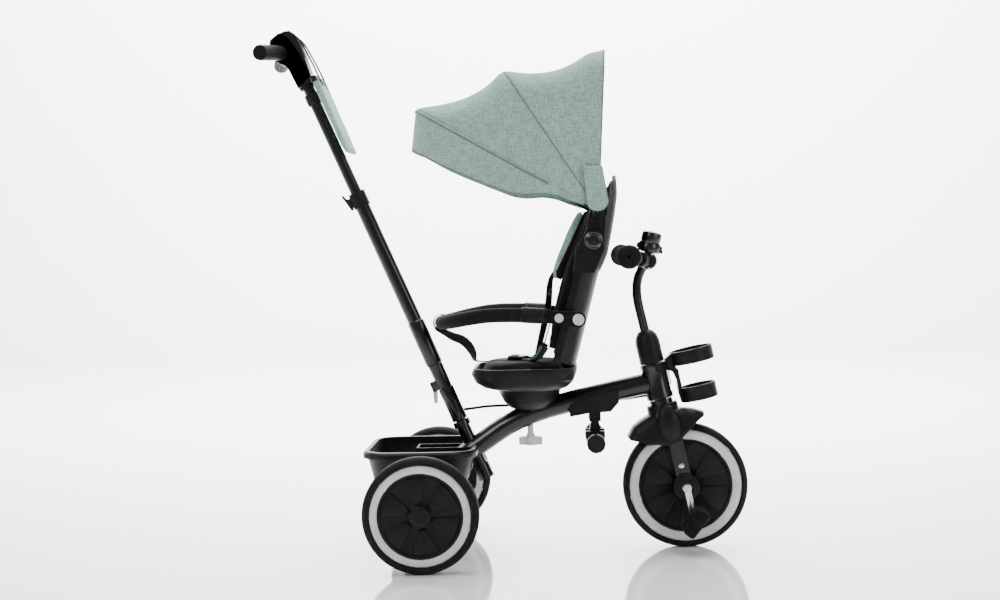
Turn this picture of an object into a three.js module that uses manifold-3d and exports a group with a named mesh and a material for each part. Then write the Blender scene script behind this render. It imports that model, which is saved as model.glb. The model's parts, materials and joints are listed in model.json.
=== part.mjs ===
// A child's tricycle with a reversible seat, a fold-back canopy and a steering push handle.
// Millimetres and degrees. While it is being built, x = 0 is the rear axle and z = 0 the floor;
// +X is forward, +Y is the left side and +Z is up.
import * as THREE from 'three';
import { mergeVertices } from 'three/addons/utils/BufferGeometryUtils.js';
import Module from 'manifold-3d';

const wasm = await Module();
wasm.setup();

// ---------------------------------------------------------------- driving dimensions
const gap = 0.3;                // between pieces that touch
const runningGap = 0.6;         // around pieces that turn or slide

const wheelbase = 522;
const rearTrack = 470;          // between the middles of the two rear tyres
const tyreWidth = 40;
const frontWheel = { radius: 127, ringOuter: 114, ringInner: 95, bore: 7 };
const rearWheel = { radius: 112.5, ringOuter: 97.5, ringInner: 82.5, bore: 5.6 };
const wheelSegments = 24;

const axleRodRadius = 5;
const axleTubeRadius = 15;
const beamRadius = 22;
const tubeWall = 2;

const steeringTilt = 12;        // the steering axis leans back
const forkRake = 9.4;
const forkLeg = { width: 30, thick: 7 };
const crownHeight = 134;        // crown's underside above the axle, along the steering axis
const headTube = { radius: 26, bottom: 184, top: 257 };
const headLip = 1.5;            // raised ring round the foot of the head tube
const steererRadius = 12.5;
const stemRadius = 9.6;
const coverTop = 326;

const barRadius = 9.5;
const barCentre = new THREE.Vector3(38, 0, 463);
const barEnd = new THREE.Vector3(-5, 190, 483);
const gripLength = 92;
const gripRadius = 15.5;
const gripFlange = 23.5;

const crankThrow = 62;
const crankOffset = 56;         // from the middle plane to the crank arm
const pedalSize = { length: 66, width: 66, thick: 30 };
const axleRadius = 6;

const handleTilt = 23.4;        // the push handle leans back
const handleFoot = { x: 90, z: 207 };
const socketRadius = 14;
const armReach = 40;            // steering arms and the rod between them
const rodRadius = 3;
const lowerTube = { bottom: 77, top: 545, bore: 12.6 };
const upperTubeRadius = 11.8;
const upperTubeInsert = 190;
const handleGrip = { radius: 15.5, half: 118, sweep: 24, height: 898 };
const handleTubeTop = handleGrip.height - 23;

const swivelX = 208;            // vertical axis on which the seat turns round
const seatRim = 377;
const seatHalf = 118;
const seatFloor = 331;
const cushionTop = 398;

const backTilt = 15;
const backFoot = { x: 304, z: 365 };
const backHalf = 112;
const backTop = 330;
const shellWall = 11;

const bumperPivot = { x: 309, z: 475 };
const bumperRadius = 14.3;
const armInner = 114;
const armThick = 15;
const pivotButtonRadius = 11.6;
const releaseButtonRadius = 9;

const canopyPivot = { x: 352, z: 686 };
const canopyHalf = 131;
const hoopRadius = 3.5;         // hoops are flattened rods: half width and half thickness
const hoopThick = 2.1;
const hoops = [
  { name: 'canopy_hoop_rear', angle: 1, length: 314 },
  { name: 'canopy_hoop_middle', angle: 33, length: 331 },
  { name: 'canopy_hoop_front', angle: 59.5, length: 410 },
];
const hubThick = 4.4;           // flat eye at each end of a hoop
const fabric = 3;

const basketSize = { back: -127, front: 102, half: 135, top: 218, bottom: 150 };

// ---------------------------------------------------------------- materials
const finishes = {
  frameBlack: { color: 0x0c0c0d, roughness: 0.22, metalness: 0.35 },
  plasticBlack: { color: 0x141415, roughness: 0.5, metalness: 0 },
  rubberBlack: { color: 0x1b1b1c, roughness: 0.85, metalness: 0 },
  ringGrey: { color: 0xcdcdcd, roughness: 0.45, metalness: 0 },
  silver: { color: 0xc9cacb, roughness: 0.3, metalness: 0.6 },
  chrome: { color: 0xd8d8da, roughness: 0.12, metalness: 1 },
  steel: { color: 0x9a9a9c, roughness: 0.35, metalness: 0.9 },
  canopyGreen: { color: 0x9db5a9, roughness: 0.95, metalness: 0 },
  linerBlack: { color: 0x202022, roughness: 0.95, metalness: 0 },
  knobGrey: { color: 0xd5d5d3, roughness: 0.4, metalness: 0 },
};

// ---------------------------------------------------------------- shape helpers
const rad = THREE.MathUtils.degToRad;

// A closed three.js geometry as a solid, with the needles that poles leave behind taken out.
function toSolid(geometry) {
  const bare = geometry.clone();
  bare.deleteAttribute('normal');
  bare.deleteAttribute('uv');
  const merged = mergeVertices(bare, 1e-4);
  const corners = merged.index.array;
  const triangles = [];
  for (let i = 0; i < corners.length; i += 3) {
    const [a, b, c] = [corners[i], corners[i + 1], corners[i + 2]];
    if (a !== b && b !== c && c !== a) triangles.push(a, b, c);
  }
  return new wasm.Manifold(new wasm.Mesh({
    numProp: 3,
    vertProperties: Float32Array.from(merged.attributes.position.array),
    triVerts: Uint32Array.from(triangles),
  }));
}

function toGeometry(solid) {
  const mesh = solid.getMesh();
  const geometry = new THREE.BufferGeometry();
  geometry.setAttribute('position', new THREE.BufferAttribute(mesh.vertProperties, 3));
  geometry.setIndex(new THREE.BufferAttribute(mesh.triVerts, 1));
  geometry.computeVertexNormals();
  return geometry;
}

function join(...pieces) {
  return toGeometry(pieces.map(toSolid).reduce((all, next) => all.add(next)));
}

function cut(piece, ...tools) {
  return toGeometry(tools.map(toSolid).reduce((left, tool) => left.subtract(tool), toSolid(piece)));
}

function common(piece, other) {
  return toGeometry(toSolid(piece).intersect(toSolid(other)));
}

function box(x0, x1, y0, y1, z0, z1) {
  return new THREE.BoxGeometry(x1 - x0, y1 - y0, z1 - z0)
    .translate((x0 + x1) / 2, (y0 + y1) / 2, (z0 + z1) / 2);
}

// Round bar along Y or Z between two stations.
function barY(radius, y0, y1, sides = 12) {
  return new THREE.CylinderGeometry(radius, radius, y1 - y0, sides).translate(0, (y0 + y1) / 2, 0);
}

function barZ(radius, z0, z1, sides = 12) {
  return barY(radius, 0, z1 - z0, sides).rotateX(Math.PI / 2).translate(0, 0, z0);
}

// Turned about Y, or about Z; each profile point is [radius, station].
function turnY(profile, segments = 16, start = 0) {
  const points = profile.map(([radius, station]) => new THREE.Vector2(radius, station));
  if (THREE.ShapeUtils.area(points) < 0) points.reverse();
  return new THREE.LatheGeometry(points, segments, start);
}

function turnZ(profile, segments = 16) {
  return turnY(profile, segments).rotateX(Math.PI / 2);
}

// An XZ outline given thickness between two Y stations.
function slab(outline, y0, y1) {
  const drawn = Array.isArray(outline);
  const shape = drawn ? new THREE.Shape(outline.map(([x, z]) => new THREE.Vector2(x, z))) : outline;
  return new THREE.ExtrudeGeometry(shape, { depth: y1 - y0, bevelEnabled: false, curveSegments: 6 })
    .rotateX(Math.PI / 2).translate(0, y1, 0);
}

// An XY outline raised from z0 to z1.
function raise(outline, z0, z1) {
  const shape = new THREE.Shape(outline.map(([x, y]) => new THREE.Vector2(x, y)));
  return new THREE.ExtrudeGeometry(shape, { depth: z1 - z0, bevelEnabled: false }).translate(0, 0, z0);
}

function ringPoints(radius, sides) {
  return Array.from({ length: sides }, (_, i) => {
    const turn = (i / sides) * 2 * Math.PI;
    return new THREE.Vector2(radius * Math.cos(turn), radius * Math.sin(turn));
  });
}

// Round tube along a curve, hollow and open at both ends when a wall is given.
function tube(points, radius, { wall = 0, sides = 12, steps = 16 } = {}) {
  const curve = new THREE.CatmullRomCurve3(points, false, 'centripetal');
  const section = new THREE.Shape(ringPoints(radius, sides));
  if (wall > 0) section.holes.push(new THREE.Path(ringPoints(radius - wall, sides).reverse()));
  return new THREE.ExtrudeGeometry(section, { steps, extrudePath: curve });
}

// A closed solid through a row of closed rings that all have the same number of points.
function loft(rings) {
  const count = rings[0].length;
  const corners = [];
  for (let r = 0; r + 1 < rings.length; r += 1) {
    for (let i = 0; i < count; i += 1) {
      const j = (i + 1) % count;
      const [a, b, c, d] = [r * count + i, r * count + j, (r + 1) * count + j, (r + 1) * count + i];
      corners.push(a, b, c, a, c, d);
    }
  }
  capRing(rings[0], 0, true, corners);
  capRing(rings.at(-1), (rings.length - 1) * count, false, corners);
  if (signedVolume(rings.flat(), corners) < 0) corners.reverse();
  const geometry = new THREE.BufferGeometry().setFromPoints(rings.flat());
  geometry.setIndex(corners);
  geometry.computeVertexNormals();
  return geometry;
}

function signedVolume(points, corners) {
  let volume = 0;
  for (let i = 0; i < corners.length; i += 3) {
    const [a, b, c] = corners.slice(i, i + 3).map((corner) => points[corner]);
    volume += a.dot(b.clone().cross(c)) / 6;
  }
  return volume;
}

function capRing(ring, first, flip, corners) {
  const normal = ring.reduce((sum, point, i) => {
    return sum.add(point.clone().cross(ring[(i + 1) % ring.length]));
  }, new THREE.Vector3()).normalize();
  const across = ring[1].clone().sub(ring[0]).normalize();
  const up = normal.clone().cross(across);
  const flat = ring.map((point) => new THREE.Vector2(point.dot(across), point.dot(up)));
  for (const [a, b, c] of THREE.ShapeUtils.triangulateShape(flat, [])) {
    if (flip) corners.push(first + c, first + b, first + a);
    else corners.push(first + a, first + b, first + c);
  }
}

// Rounded rectangle in plan, as [x, y] points.
function roundedPlan(x0, x1, half, corner, steps = 5) {
  const centres = [[x1 - corner, half - corner, 0], [x0 + corner, half - corner, 90],
    [x0 + corner, corner - half, 180], [x1 - corner, corner - half, 270]];
  return centres.flatMap(([x, y, from]) => Array.from({ length: steps + 1 }, (_, i) => {
    const turn = rad(from + (90 * i) / steps);
    return [x + corner * Math.cos(turn), y + corner * Math.sin(turn)];
  }));
}

const levelRing = (plan, z) => plan.map(([x, y]) => new THREE.Vector3(x, y, z));

function add(parent, name, geometry, finish) {
  const mesh = new THREE.Mesh(geometry, new THREE.MeshStandardMaterial(finishes[finish]));
  mesh.name = name;
  parent.add(mesh);
  return mesh;
}

function place(parent, x, z, tilt = 0, y = 0) {
  const holder = new THREE.Group();
  holder.position.set(x, y, z);
  holder.rotation.y = rad(tilt);
  parent.add(holder);
  return holder;
}

const sides = [['left', 1], ['right', -1]];
const v3 = (x, y, z) => new THREE.Vector3(x, y, z);

// ---------------------------------------------------------------- wheels
const group = new THREE.Group();

// Tyre with a flat tread; the vertices stand out so that a facet, not an edge, meets the floor.
function tyre(wheel) {
  const tread = wheel.radius / Math.cos(Math.PI / wheelSegments);
  const half = tyreWidth / 2;
  const seat = wheel.ringOuter + gap;
  const profile = [[seat, -half + 3], [seat + 3, -half], [tread - 6, -half], [tread - 1.5, -half + 5],
    [tread, -half + 11], [tread, half - 11], [tread - 1.5, half - 5], [tread - 6, half], [seat + 3, half],
    [seat, half - 3], [seat, -half + 3]];
  return turnY(profile, wheelSegments, Math.PI / wheelSegments);
}

// Pale rim band that carries the tyre.
function rimRing(wheel) {
  const half = tyreWidth / 2 - 1;
  const profile = [[wheel.ringInner, -half], [wheel.ringOuter - 3, -half], [wheel.ringOuter, -half + 4],
    [wheel.ringOuter, half - 4], [wheel.ringOuter - 3, half], [wheel.ringInner, half], [wheel.ringInner,
        -half]];
  return turnY(profile, wheelSegments, Math.PI / wheelSegments);
}

// Dished black disc with a hub; a closed hub has its cap on the outer (+Y) side.
function wheelDisc(wheel, hubHalf, closed) {
  const rim = wheel.ringInner - gap;
  const half = tyreWidth / 2 - 3;
  const web = 9;
  const hub = wheel.bore + 15;
  const end = closed ? [[hub, hubHalf - 3], [hub - 3, hubHalf], [0, hubHalf], [0, hubHalf - 5],
    [wheel.bore, hubHalf - 5]] : [[hub, hubHalf], [wheel.bore, hubHalf]];
  const profile = [[wheel.bore, -hubHalf], [hub, -hubHalf], [hub, -web], [rim - 5, -half], [rim, -half],
    [rim, half], [rim - 5, half], [hub + 6, web + 3], [hub, web + 3], ...end];
  profile.push([wheel.bore, -hubHalf]);
  return turnY(profile, wheelSegments, Math.PI / wheelSegments);
}

const rearHubHalf = 26;
for (const [side, sign] of sides) {
  const wheel = place(group, 0, rearWheel.radius, 0, (sign * rearTrack) / 2);
  if (sign < 0) wheel.rotation.z = Math.PI;
  add(wheel, `rear_tyre_${side}`, tyre(rearWheel), 'rubberBlack');
  add(wheel, `rear_rim_${side}`, rimRing(rearWheel), 'ringGrey');
  add(wheel, `rear_disc_${side}`, wheelDisc(rearWheel, rearHubHalf, true), 'plasticBlack');
}

// ---------------------------------------------------------------- steering frame of reference
const tilt = rad(steeringTilt);
const steerFoot = {
  x: wheelbase - forkRake * Math.cos(tilt),
  z: frontWheel.radius - forkRake * Math.sin(tilt),
};
const fixedHead = place(group, steerFoot.x, steerFoot.z, -steeringTilt);
const steering = place(group, steerFoot.x, steerFoot.z, -steeringTilt);
const handleFixed = place(group, handleFoot.x, handleFoot.z, -handleTilt);
const handle = place(group, handleFoot.x, handleFoot.z, -handleTilt);

// Geometry drawn in a tilted holder's frame, moved into the tricycle's frame.
function inFrame(geometry, holder) {
  holder.updateMatrix();
  return geometry.clone().applyMatrix4(holder.matrix);
}

// ---------------------------------------------------------------- frame
const beamRoute = [v3(wheelbase - 52, 0, 340), v3(wheelbase - 170, 0, 315), v3(288, 0, 300), v3(220, 0,
    281), v3(168, 0, 259),
  v3(133, 0, 237), v3(93, 0, 209), v3(58, 0, 182), v3(28, 0, 154), v3(4, 0, 118)];
const boltRadius = 6;

function mainBeam() {
  const beam = tube(beamRoute, beamRadius, { wall: tubeWall, sides: 14, steps: 16 });
  const headSeat = inFrame(barZ(headTube.radius + headLip + gap, headTube.bottom - 60,
      headTube.top + 60), fixedHead);
  const socketHole = inFrame(barZ(socketRadius + gap, -90, 90), handleFixed);
  const axleSeat = barY(axleTubeRadius + gap, -60, 60).translate(0, 0, rearWheel.radius);
  const boltHole = barZ(boltRadius + runningGap, 200, 340).translate(swivelX, 0, 0);
  return cut(beam, headSeat, socketHole, axleSeat, boltHole);
}

function headTubeBody() {
  const { radius, bottom, top } = headTube;
  const bore = steererRadius + runningGap;
  return turnZ([[bore, bottom], [radius + headLip, bottom], [radius + headLip, bottom + 8], [radius,
      bottom + 12],
    [radius, top - 8], [radius + 1, top - 4], [radius, top], [bore, top], [bore, bottom]]);
}

const axleTubeHalf = rearTrack / 2 - rearHubHalf - 3;
function rearAxleTube() {
  const outer = barY(axleTubeRadius, -axleTubeHalf, axleTubeHalf);
  return cut(outer, barY(axleRodRadius + gap, -axleTubeHalf - 5, axleTubeHalf + 5));
}

function socket() {
  const outer = join(barZ(socketRadius, -58, 64), barZ(socketRadius + 4, 52, 64), barZ(socketRadius + 3,
      -66, -34));
  return cut(outer, barZ(10.6, -50, 70));
}

add(group, 'main_beam', mainBeam(), 'frameBlack');
add(fixedHead, 'head_tube', headTubeBody(), 'frameBlack');
add(group, 'rear_axle_tube', rearAxleTube().translate(0, 0, rearWheel.radius), 'frameBlack');
const rodHalf = rearTrack / 2 + rearHubHalf - 6;
add(group, 'rear_axle_rod', barY(axleRodRadius, -rodHalf, rodHalf).translate(0, 0, rearWheel.radius),
    'steel');
add(handleFixed, 'handle_socket', socket(), 'frameBlack');

// Storage basket: tapered bin with a rolled rim, notched at the front for the main beam; two feet
// under its floor sit on the axle tube.
function basket() {
  const { back, front, half, top, bottom } = basketSize;
  const wall = 3;
  const rimLip = 9;
  const inset = 20;
  const level = (shrink, z, corner) => levelRing(roundedPlan(back + shrink, front - shrink,
      half - shrink, corner), z);
  const outer = loft([level(inset + 6, bottom, 34), level(inset, bottom + 6, 40), level(rimLip, top - 14,
      46),
    level(0, top - 13, 50), level(0, top - 4, 50), level(4, top, 46)]);
  const hollow = loft([level(inset + 6 + wall, bottom + wall, 31), level(inset + wall, bottom + 6 + wall,
      37),
    level(rimLip + wall, top - 14, 43), level(rimLip + wall, top + 5, 43)]);
  const notch = beamRadius + 6;
  const tunnel = box(-22, front + 10, -notch, notch, bottom - 5, top + 10);
  const lining = box(-22 - wall, front + 10, -notch - wall, notch + wall, bottom - 5, top - 4);
  const bin = cut(outer, toGeometry(toSolid(hollow).subtract(toSolid(lining))));
  const feet = sides.map(([, sign]) => box(-14, 14, sign * 70 - 12, sign * 70 + 12, rearWheel.radius,
      bottom + 1));
  const axleSeat = barY(axleTubeRadius + gap, -half, half).translate(0, 0, rearWheel.radius);
  return cut(join(cut(bin, tunnel), ...feet), axleSeat);
}

add(group, 'basket', basket(), 'plasticBlack');

// ---------------------------------------------------------------- seat mount on the beam
const baseProfile = [[0, 283], [22, 284.5], [40, 291], [53, 303], [61, 318], [64, seatFloor - gap], [0,
    seatFloor - gap]];

function seatBase() {
  const bowl = turnZ(baseProfile, 32);
  const saddle = tube(beamRoute, beamRadius + gap, { sides: 14, steps: 16 }).translate(-swivelX, 0, 0);
  const rodSlot = box(-90, 90, armReach - 9, armReach + 7, 275, 304);
  return cut(bowl, saddle, rodSlot, barZ(boltRadius + runningGap, 270, 340));
}

function seatKnob() {
  const stem = barZ(boltRadius, 226, seatFloor + 8);
  const neck = barZ(8.5, 230, 237);
  const wings = slab([[-24, 214], [24, 214], [24, 229], [10, 231], [-10, 231], [-24, 229]], -8, 8);
  return join(stem, neck, wings, barZ(13, 213, 231));
}

const swivel = place(group, swivelX, 0);
add(swivel, 'seat_base', seatBase(), 'plasticBlack');
add(swivel, 'seat_knob', seatKnob(), 'knobGrey');

// ---------------------------------------------------------------- footrest under the beam
const footHinge = { x: 340, z: 272 };
const footDrop = 46;

function footrestClamp() {
  const block = slab([[289, 272], [289, 292], [332, 330], [389, 340], [389, 300], [372, 281], [330,
      279]], -27, 27);
  const saddle = tube(beamRoute, beamRadius + gap, { sides: 14, steps: 16 });
  const overBeam = slab([[280, 298], [400, 327], [400, 380], [280, 380]], -40, 40);
  const ears = sides.map(([, sign]) => slab([[328, 262], [352, 262], [352, 284], [328, 284]],
      sign * 22 - 4, sign * 22 + 4));
  const body = join(cut(block, overBeam, saddle), ...ears.map((ear) => cut(ear, saddle)));
  const pinHole = barY(5 + gap, -40, 40).translate(footHinge.x, 0, footHinge.z);
  const room = box(322, 358, -17.5, 17.5, 250, footHinge.z + 6.5);
  return cut(body, pinHole, room);
}

function footrest() {
  const tongue = join(slab([[-14, -footDrop], [-6.2, 0], [6.2, 0], [14, -footDrop]], -17, 17), barY(6.2,
      -17, 17));
  const cheeks = sides.map(([, sign]) => slab([[-20, -footDrop], [-20, -30], [20, -30], [20, -footDrop]],
    sign * 22 - 5, sign * 22 + 5));
  const bridge = box(-18, 18, -25, 25, -footDrop - 6, -footDrop + 12);
  const peg = barY(13, -104, 104).translate(0, 0, -footDrop);
  const tips = sides.map(([, sign]) => barY(19, sign * 98 - 7, sign * 98 + 7).translate(0, 0, -footDrop));
  const pin = barY(5, -25, 25);
  return join(tongue, ...cheeks, bridge, peg, ...tips, pin);
}

add(group, 'footrest_clamp', footrestClamp(), 'plasticBlack');
add(place(group, footHinge.x, footHinge.z), 'footrest', footrest(), 'plasticBlack');

// ---------------------------------------------------------------- cup holder on the head tube
function cupHolder() {
  const ring = (radius, z0, z1) => turnZ([[radius - 3.5, z0], [radius, z0], [radius, z1], [radius - 3.5,
      z1],
    [radius - 3.5, z0]]);
  const upper = ring(44, 242, 270).translate(82, 0, 0);
  const lower = ring(37.5, 165, 195).translate(79, 0, 0);
  const floorBars = join(box(44, 113, -6, 6, 165, 169), box(73, 85, -35, 35, 165, 169));
  const web = slab([[headTube.radius - 6, 240], [headTube.radius - 6, 256], [40, 268], [46, 262], [47, 236],
    [52, 222], [50, 206], [45, 192], [45, 166], [40, 166], [38, 186], [40, 214], [36, 232]], -11, 11);
  const insideRings = join(barZ(40.5, 236, 300).translate(82, 0, 0), barZ(34, 169.5, 230).translate(79,
      0, 0));
  const clamp = cut(barZ(headTube.radius + 5, 240, 256), box(-60, 4, -60, 60, 200, 300));
  const tubeSpace = barZ(headTube.radius + headLip + 2 * gap, 150, 300);
  return cut(join(upper, lower, floorBars, cut(join(web, clamp), insideRings)), tubeSpace);
}

add(fixedHead, 'cup_holder', cupHolder(), 'plasticBlack');

// ---------------------------------------------------------------- fork, fender and handlebar
const legInner = tyreWidth / 2 + 5;
const legOuter = legInner + forkLeg.thick;
const armLevel = 178;

function steeringArm(level) {
  return join(slab([[-7, level - 4], [7, level - 4], [7, level + 4], [-7, level + 4]], 0, armReach),
    barZ(8, level - 4, level + 4).translate(0, armReach, 0),
    barZ(3, level - 4, level + 16, 12).translate(0, armReach, 0));
}

function fork() {
  const half = forkLeg.width / 2;
  const legs = sides.map(([, sign]) => {
    const y0 = sign > 0 ? legInner : -legOuter;
    return join(slab([[forkRake - half, 0], [forkRake + half, 0], [forkRake + half, crownHeight + 8],
      [forkRake - half, crownHeight + 8]], y0, y0 + forkLeg.thick),
    barY(half, y0, y0 + forkLeg.thick).translate(forkRake, 0, 0));
  });
  const crown = box(-22, forkRake + half, -legOuter, legOuter, crownHeight, crownHeight + 14);
  const collar = barZ(27.5, crownHeight + 10, 173);
  const steerer = barZ(steererRadius, 160, 300);
  const body = join(...legs, crown, collar, steerer, steeringArm(armLevel), barZ(24, 172, 182));
  const stemBore = barZ(stemRadius + gap, 255, 310);
  const axleHole = barY(axleRadius + runningGap, -60, 60).translate(forkRake, 0, 0);
  return cut(body, stemBore, axleHole);
}

// Mudguard over the top of the front wheel with the two rounded shoulder covers of the fork.
function frontFender() {
  const arc = (inner, outer, from, to) => {
    const shape = new THREE.Shape();
    shape.absarc(forkRake, 0, outer, rad(from), rad(to), false);
    shape.absarc(forkRake, 0, inner, rad(to), rad(from), true);
    return shape;
  };
  const wall = 2.6;
  const skirt = legOuter + 2;
  const channel = cut(slab(arc(112, 153, 62, 127), -skirt - wall, skirt + wall),
    slab(arc(90, 153 - wall, 50, 140), -skirt, skirt));
  const shoulders = sides.map(([, sign]) => {
    const egg = new THREE.SphereGeometry(1, 12, 8).scale(25, 15, 40).translate(4, sign * skirt, 132);
    return common(egg, box(-60, 70, sign > 0 ? skirt : -90, sign > 0 ? 90 : -skirt, 80, 190));
  });
  const shroud = turnZ([[0, 128], [36, 128], [34, 146], [31.5, 158], [31.5, 172], [0, 172]]);
  const crownRoom = join(box(-22 - 1, forkRake + forkLeg.width / 2 + 1, -legOuter - 1, legOuter + 1, 90,
      crownHeight + 15),
    barZ(28.2, crownHeight, 180));
  const legRoom = box(forkRake - 16, forkRake + 16, -legOuter - 1, legOuter + 1, 60, crownHeight + 15);
  return cut(join(channel, ...shoulders, shroud), crownRoom, legRoom,
    barY(150, -skirt, skirt, 40).translate(forkRake, 0, 0).applyMatrix4(new THREE.Matrix4().makeScale(1,
        1, 0.86)));
}

function headCover() {
  const r = headTube.radius - 1;
  const wall = 2.5;
  const hole = stemRadius + runningGap;
  const base = headTube.top + 1.5;
  return turnZ([[r - wall, base], [r, base], [r, coverTop - 24], [r - 3, coverTop - 12], [r - 9,
      coverTop - 3],
    [hole + 1, coverTop], [hole, coverTop - 1], [hole, coverTop - 4], [r - 11, coverTop - 6],
    [r - 5, coverTop - 14], [r - wall, coverTop - 25], [r - wall, base]]);
}

function stem() {
  const route = [v3(0, 0, 263), v3(0, 0, 330), v3(0, 0, 392), v3(5, 0, 420), v3(18, 0, 445), v3(36, 0,
      461)];
  const clamp = barY(15, -17, 17).translate(barCentre.x, 0, barCentre.z);
  const body = join(tube(route, stemRadius, { sides: 12, steps: 12 }), clamp);
  return cut(body, barY(barRadius + 3 * gap, -30, 30).translate(barCentre.x, 0, barCentre.z),
      barZ(stemRadius - tubeWall, 250, 385));
}

const gripStart = barEnd.clone().sub(v3(8, 110, 477)).normalize().multiplyScalar(-gripLength).add(barEnd);

function handlebar() {
  const along = barEnd.clone().sub(gripStart);
  const straight = [-0.25, 0, 0.5, 1].map((share) => gripStart.clone().addScaledVector(along, share));
  const half = [v3(barCentre.x, 22, barCentre.z), v3(31, 46, 466), ...straight];
  const mirrored = half.map((point) => v3(point.x, -point.y, point.z)).reverse();
  return tube([...mirrored, barCentre, ...half], barRadius, { wall: tubeWall, sides: 8, steps: 22 });
}

// Rubber grip with a wide end flange; the end of the bar stops inside it.
function grip(sign) {
  const bore = barRadius + gap;
  const profile = [[bore, -gripLength], [gripRadius, -gripLength], [gripRadius - 1, -gripLength / 2],
    [gripRadius, -12], [gripFlange, -6], [gripFlange, 4], [gripFlange - 5, 9], [4, 10], [4, 5], [bore, 5],
    [bore, -gripLength]];
  const along = barEnd.clone().sub(gripStart).normalize();
  along.y *= sign;
  const turn = new THREE.Quaternion().setFromUnitVectors(v3(0, 1, 0), along);
  return turnY(profile).applyQuaternion(turn).translate(barEnd.x, sign * barEnd.y, barEnd.z);
}

// Bell on its bracket, leaning forward on the bar just right of the stem.
const bellY = -36;
function bellBody() {
  const shell = turnZ([[0, 14], [16, 14], [16, 33], [20.5, 35], [20.5, 40], [17, 46], [9, 50], [0, 51]]);
  const bracket = slab([[-13, -13], [13, -13], [15, 18], [-15, 18]], -8, 8);
  return cut(join(shell, bracket), barY(barRadius + 4, -30, 30), box(14, 22, -3.4, 3.4, 19, 31));
}

function bellLever() {
  return join(box(14.6, 28, -2.8, 2.8, 20, 24.5), box(24, 28, -5, 5, 19, 27));
}

add(steering, 'fork', fork(), 'frameBlack');
add(steering, 'front_fender', frontFender(), 'plasticBlack');
add(steering, 'head_cover', headCover(), 'plasticBlack');
add(steering, 'handlebar_stem', stem(), 'frameBlack');
add(steering, 'handlebar', handlebar(), 'frameBlack');
for (const [side, sign] of sides) add(steering, `grip_${side}`, grip(sign), 'rubberBlack');
const bell = new THREE.Group();
bell.position.set(33.5, bellY, 464.8);
bell.rotation.y = rad(25);
steering.add(bell);
add(bell, 'bell', bellBody(), 'plasticBlack');
add(bell, 'bell_lever', bellLever(), 'plasticBlack');

// ---------------------------------------------------------------- front wheel, crank and pedals
const frontAxle = place(steering, forkRake, 0, steeringTilt);
add(frontAxle, 'front_tyre', tyre(frontWheel), 'rubberBlack');
add(frontAxle, 'front_rim', rimRing(frontWheel), 'ringGrey');
add(frontAxle, 'front_disc', wheelDisc(frontWheel, tyreWidth / 2 + 2, false), 'plasticBlack');

const crankAngle = -12;         // the right arm hangs down and a little forward
function crankshaft() {
  const shaft = barY(axleRadius, -crankOffset - 5, crankOffset + 5);
  const arms = sides.map(([, sign]) => {
    const arm = slab([[-6.5, -4], [6.5, -4], [6.5, crankThrow + 2], [-6.5, crankThrow + 2]],
        sign * crankOffset - 4, sign * crankOffset + 4);
    const ends = [0, crankThrow].map((z) => barY(8.5, sign * crankOffset - 4,
        sign * crankOffset + 4).translate(0, 0, z));
    const pinEnd = crankOffset + pedalSize.width + 6;
    const pin = barY(4.5, sign > 0 ? crankOffset : -pinEnd, sign > 0 ? pinEnd : -crankOffset)
      .translate(0, 0, crankThrow);
    const whole = join(arm, ...ends, pin);
    return whole.rotateY(sign > 0 ? 0 : Math.PI);
  });
  const covers = sides.map(([, sign]) => barY(13, sign * (legOuter + 5.5) - 4,
      sign * (legOuter + 5.5) + 4, 12));
  return join(shaft, ...arms, ...covers);
}

function pedal() {
  const { length, width, thick } = pedalSize;
  const plan = roundedPlan(-length / 2, length / 2, width / 2, 14, 3);
  const body = loft([levelRing(plan.map(([x, y]) => [x * 0.86, y * 0.92]), -thick / 2), levelRing(plan,
      -thick / 2 + 5),
    levelRing(plan, thick / 2 - 5), levelRing(plan.map(([x, y]) => [x * 0.86, y * 0.92]), thick / 2)]);
  return cut(body, barY(4.5 + gap, -width, width, 12));
}

const crank = place(frontAxle, 0, 0, crankAngle);
add(crank, 'crankshaft', crankshaft(), 'chrome');
for (const [side, sign] of sides) {
  const pedalHolder = place(crank, 0, sign * crankThrow, 0, sign * (crankOffset + 4.6 + pedalSize.width / 2));
  add(pedalHolder, `pedal_${side}`, pedal().rotateY(rad(-40)), 'rubberBlack');
}

// ---------------------------------------------------------------- push handle
const rodPin = { rear: v3(0, armReach, 71), front: v3(0, armReach, armLevel) };

function handleLowerTube() {
  const { bottom, top, bore } = lowerTube;
  const profile = [[0, bottom + 8], [bore, bottom + 8], [bore, top], [15, top], [15, 288], [17.3, 286],
    [17.3, 192], [15, 190], [15, 150], [14.2, 150], [14.2, 138], [16, 137], [16, bottom], [10, bottom - 12],
    [10, -46], [0, -46]];
  const body = turnZ(profile);
  const arm = join(slab([[-6, 67], [6, 67], [6, 75], [-6, 75]], 0, armReach),
    barZ(7.5, 67, 75).translate(0, armReach, 0), barZ(3, 67, 87, 12).translate(0, armReach, 0),
    barZ(16, 66, 80));
  const lug = cut(box(-26, 0, -8.6, 8.6, 139, 160), box(-40, -15.4, -5.6, 5.6, 130, 170));
  return cut(join(body, arm, lug), barZ(bore, bottom + 10, bottom + 90));
}

function quickReleaseLever() {
  return slab([[-3, 2], [2.4, 2.6], [2.2, -14], [-8, -38], [-15, -36], [-7, -12]], -5, 5);
}

function handleClamp() {
  const body = join(barZ(17.6, 546, 578), box(-24, 0, -9, 9, 552, 572));
  return cut(body, barZ(upperTubeRadius + gap, 540, 590), box(-40, -18.5, -5, 5, 548, 576));
}

function clampLever() {
  return slab([[-19, 548], [-24, 548], [-31, 582], [-28, 585], [-24, 574], [-19, 570]], -4.4, 4.4);
}

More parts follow.
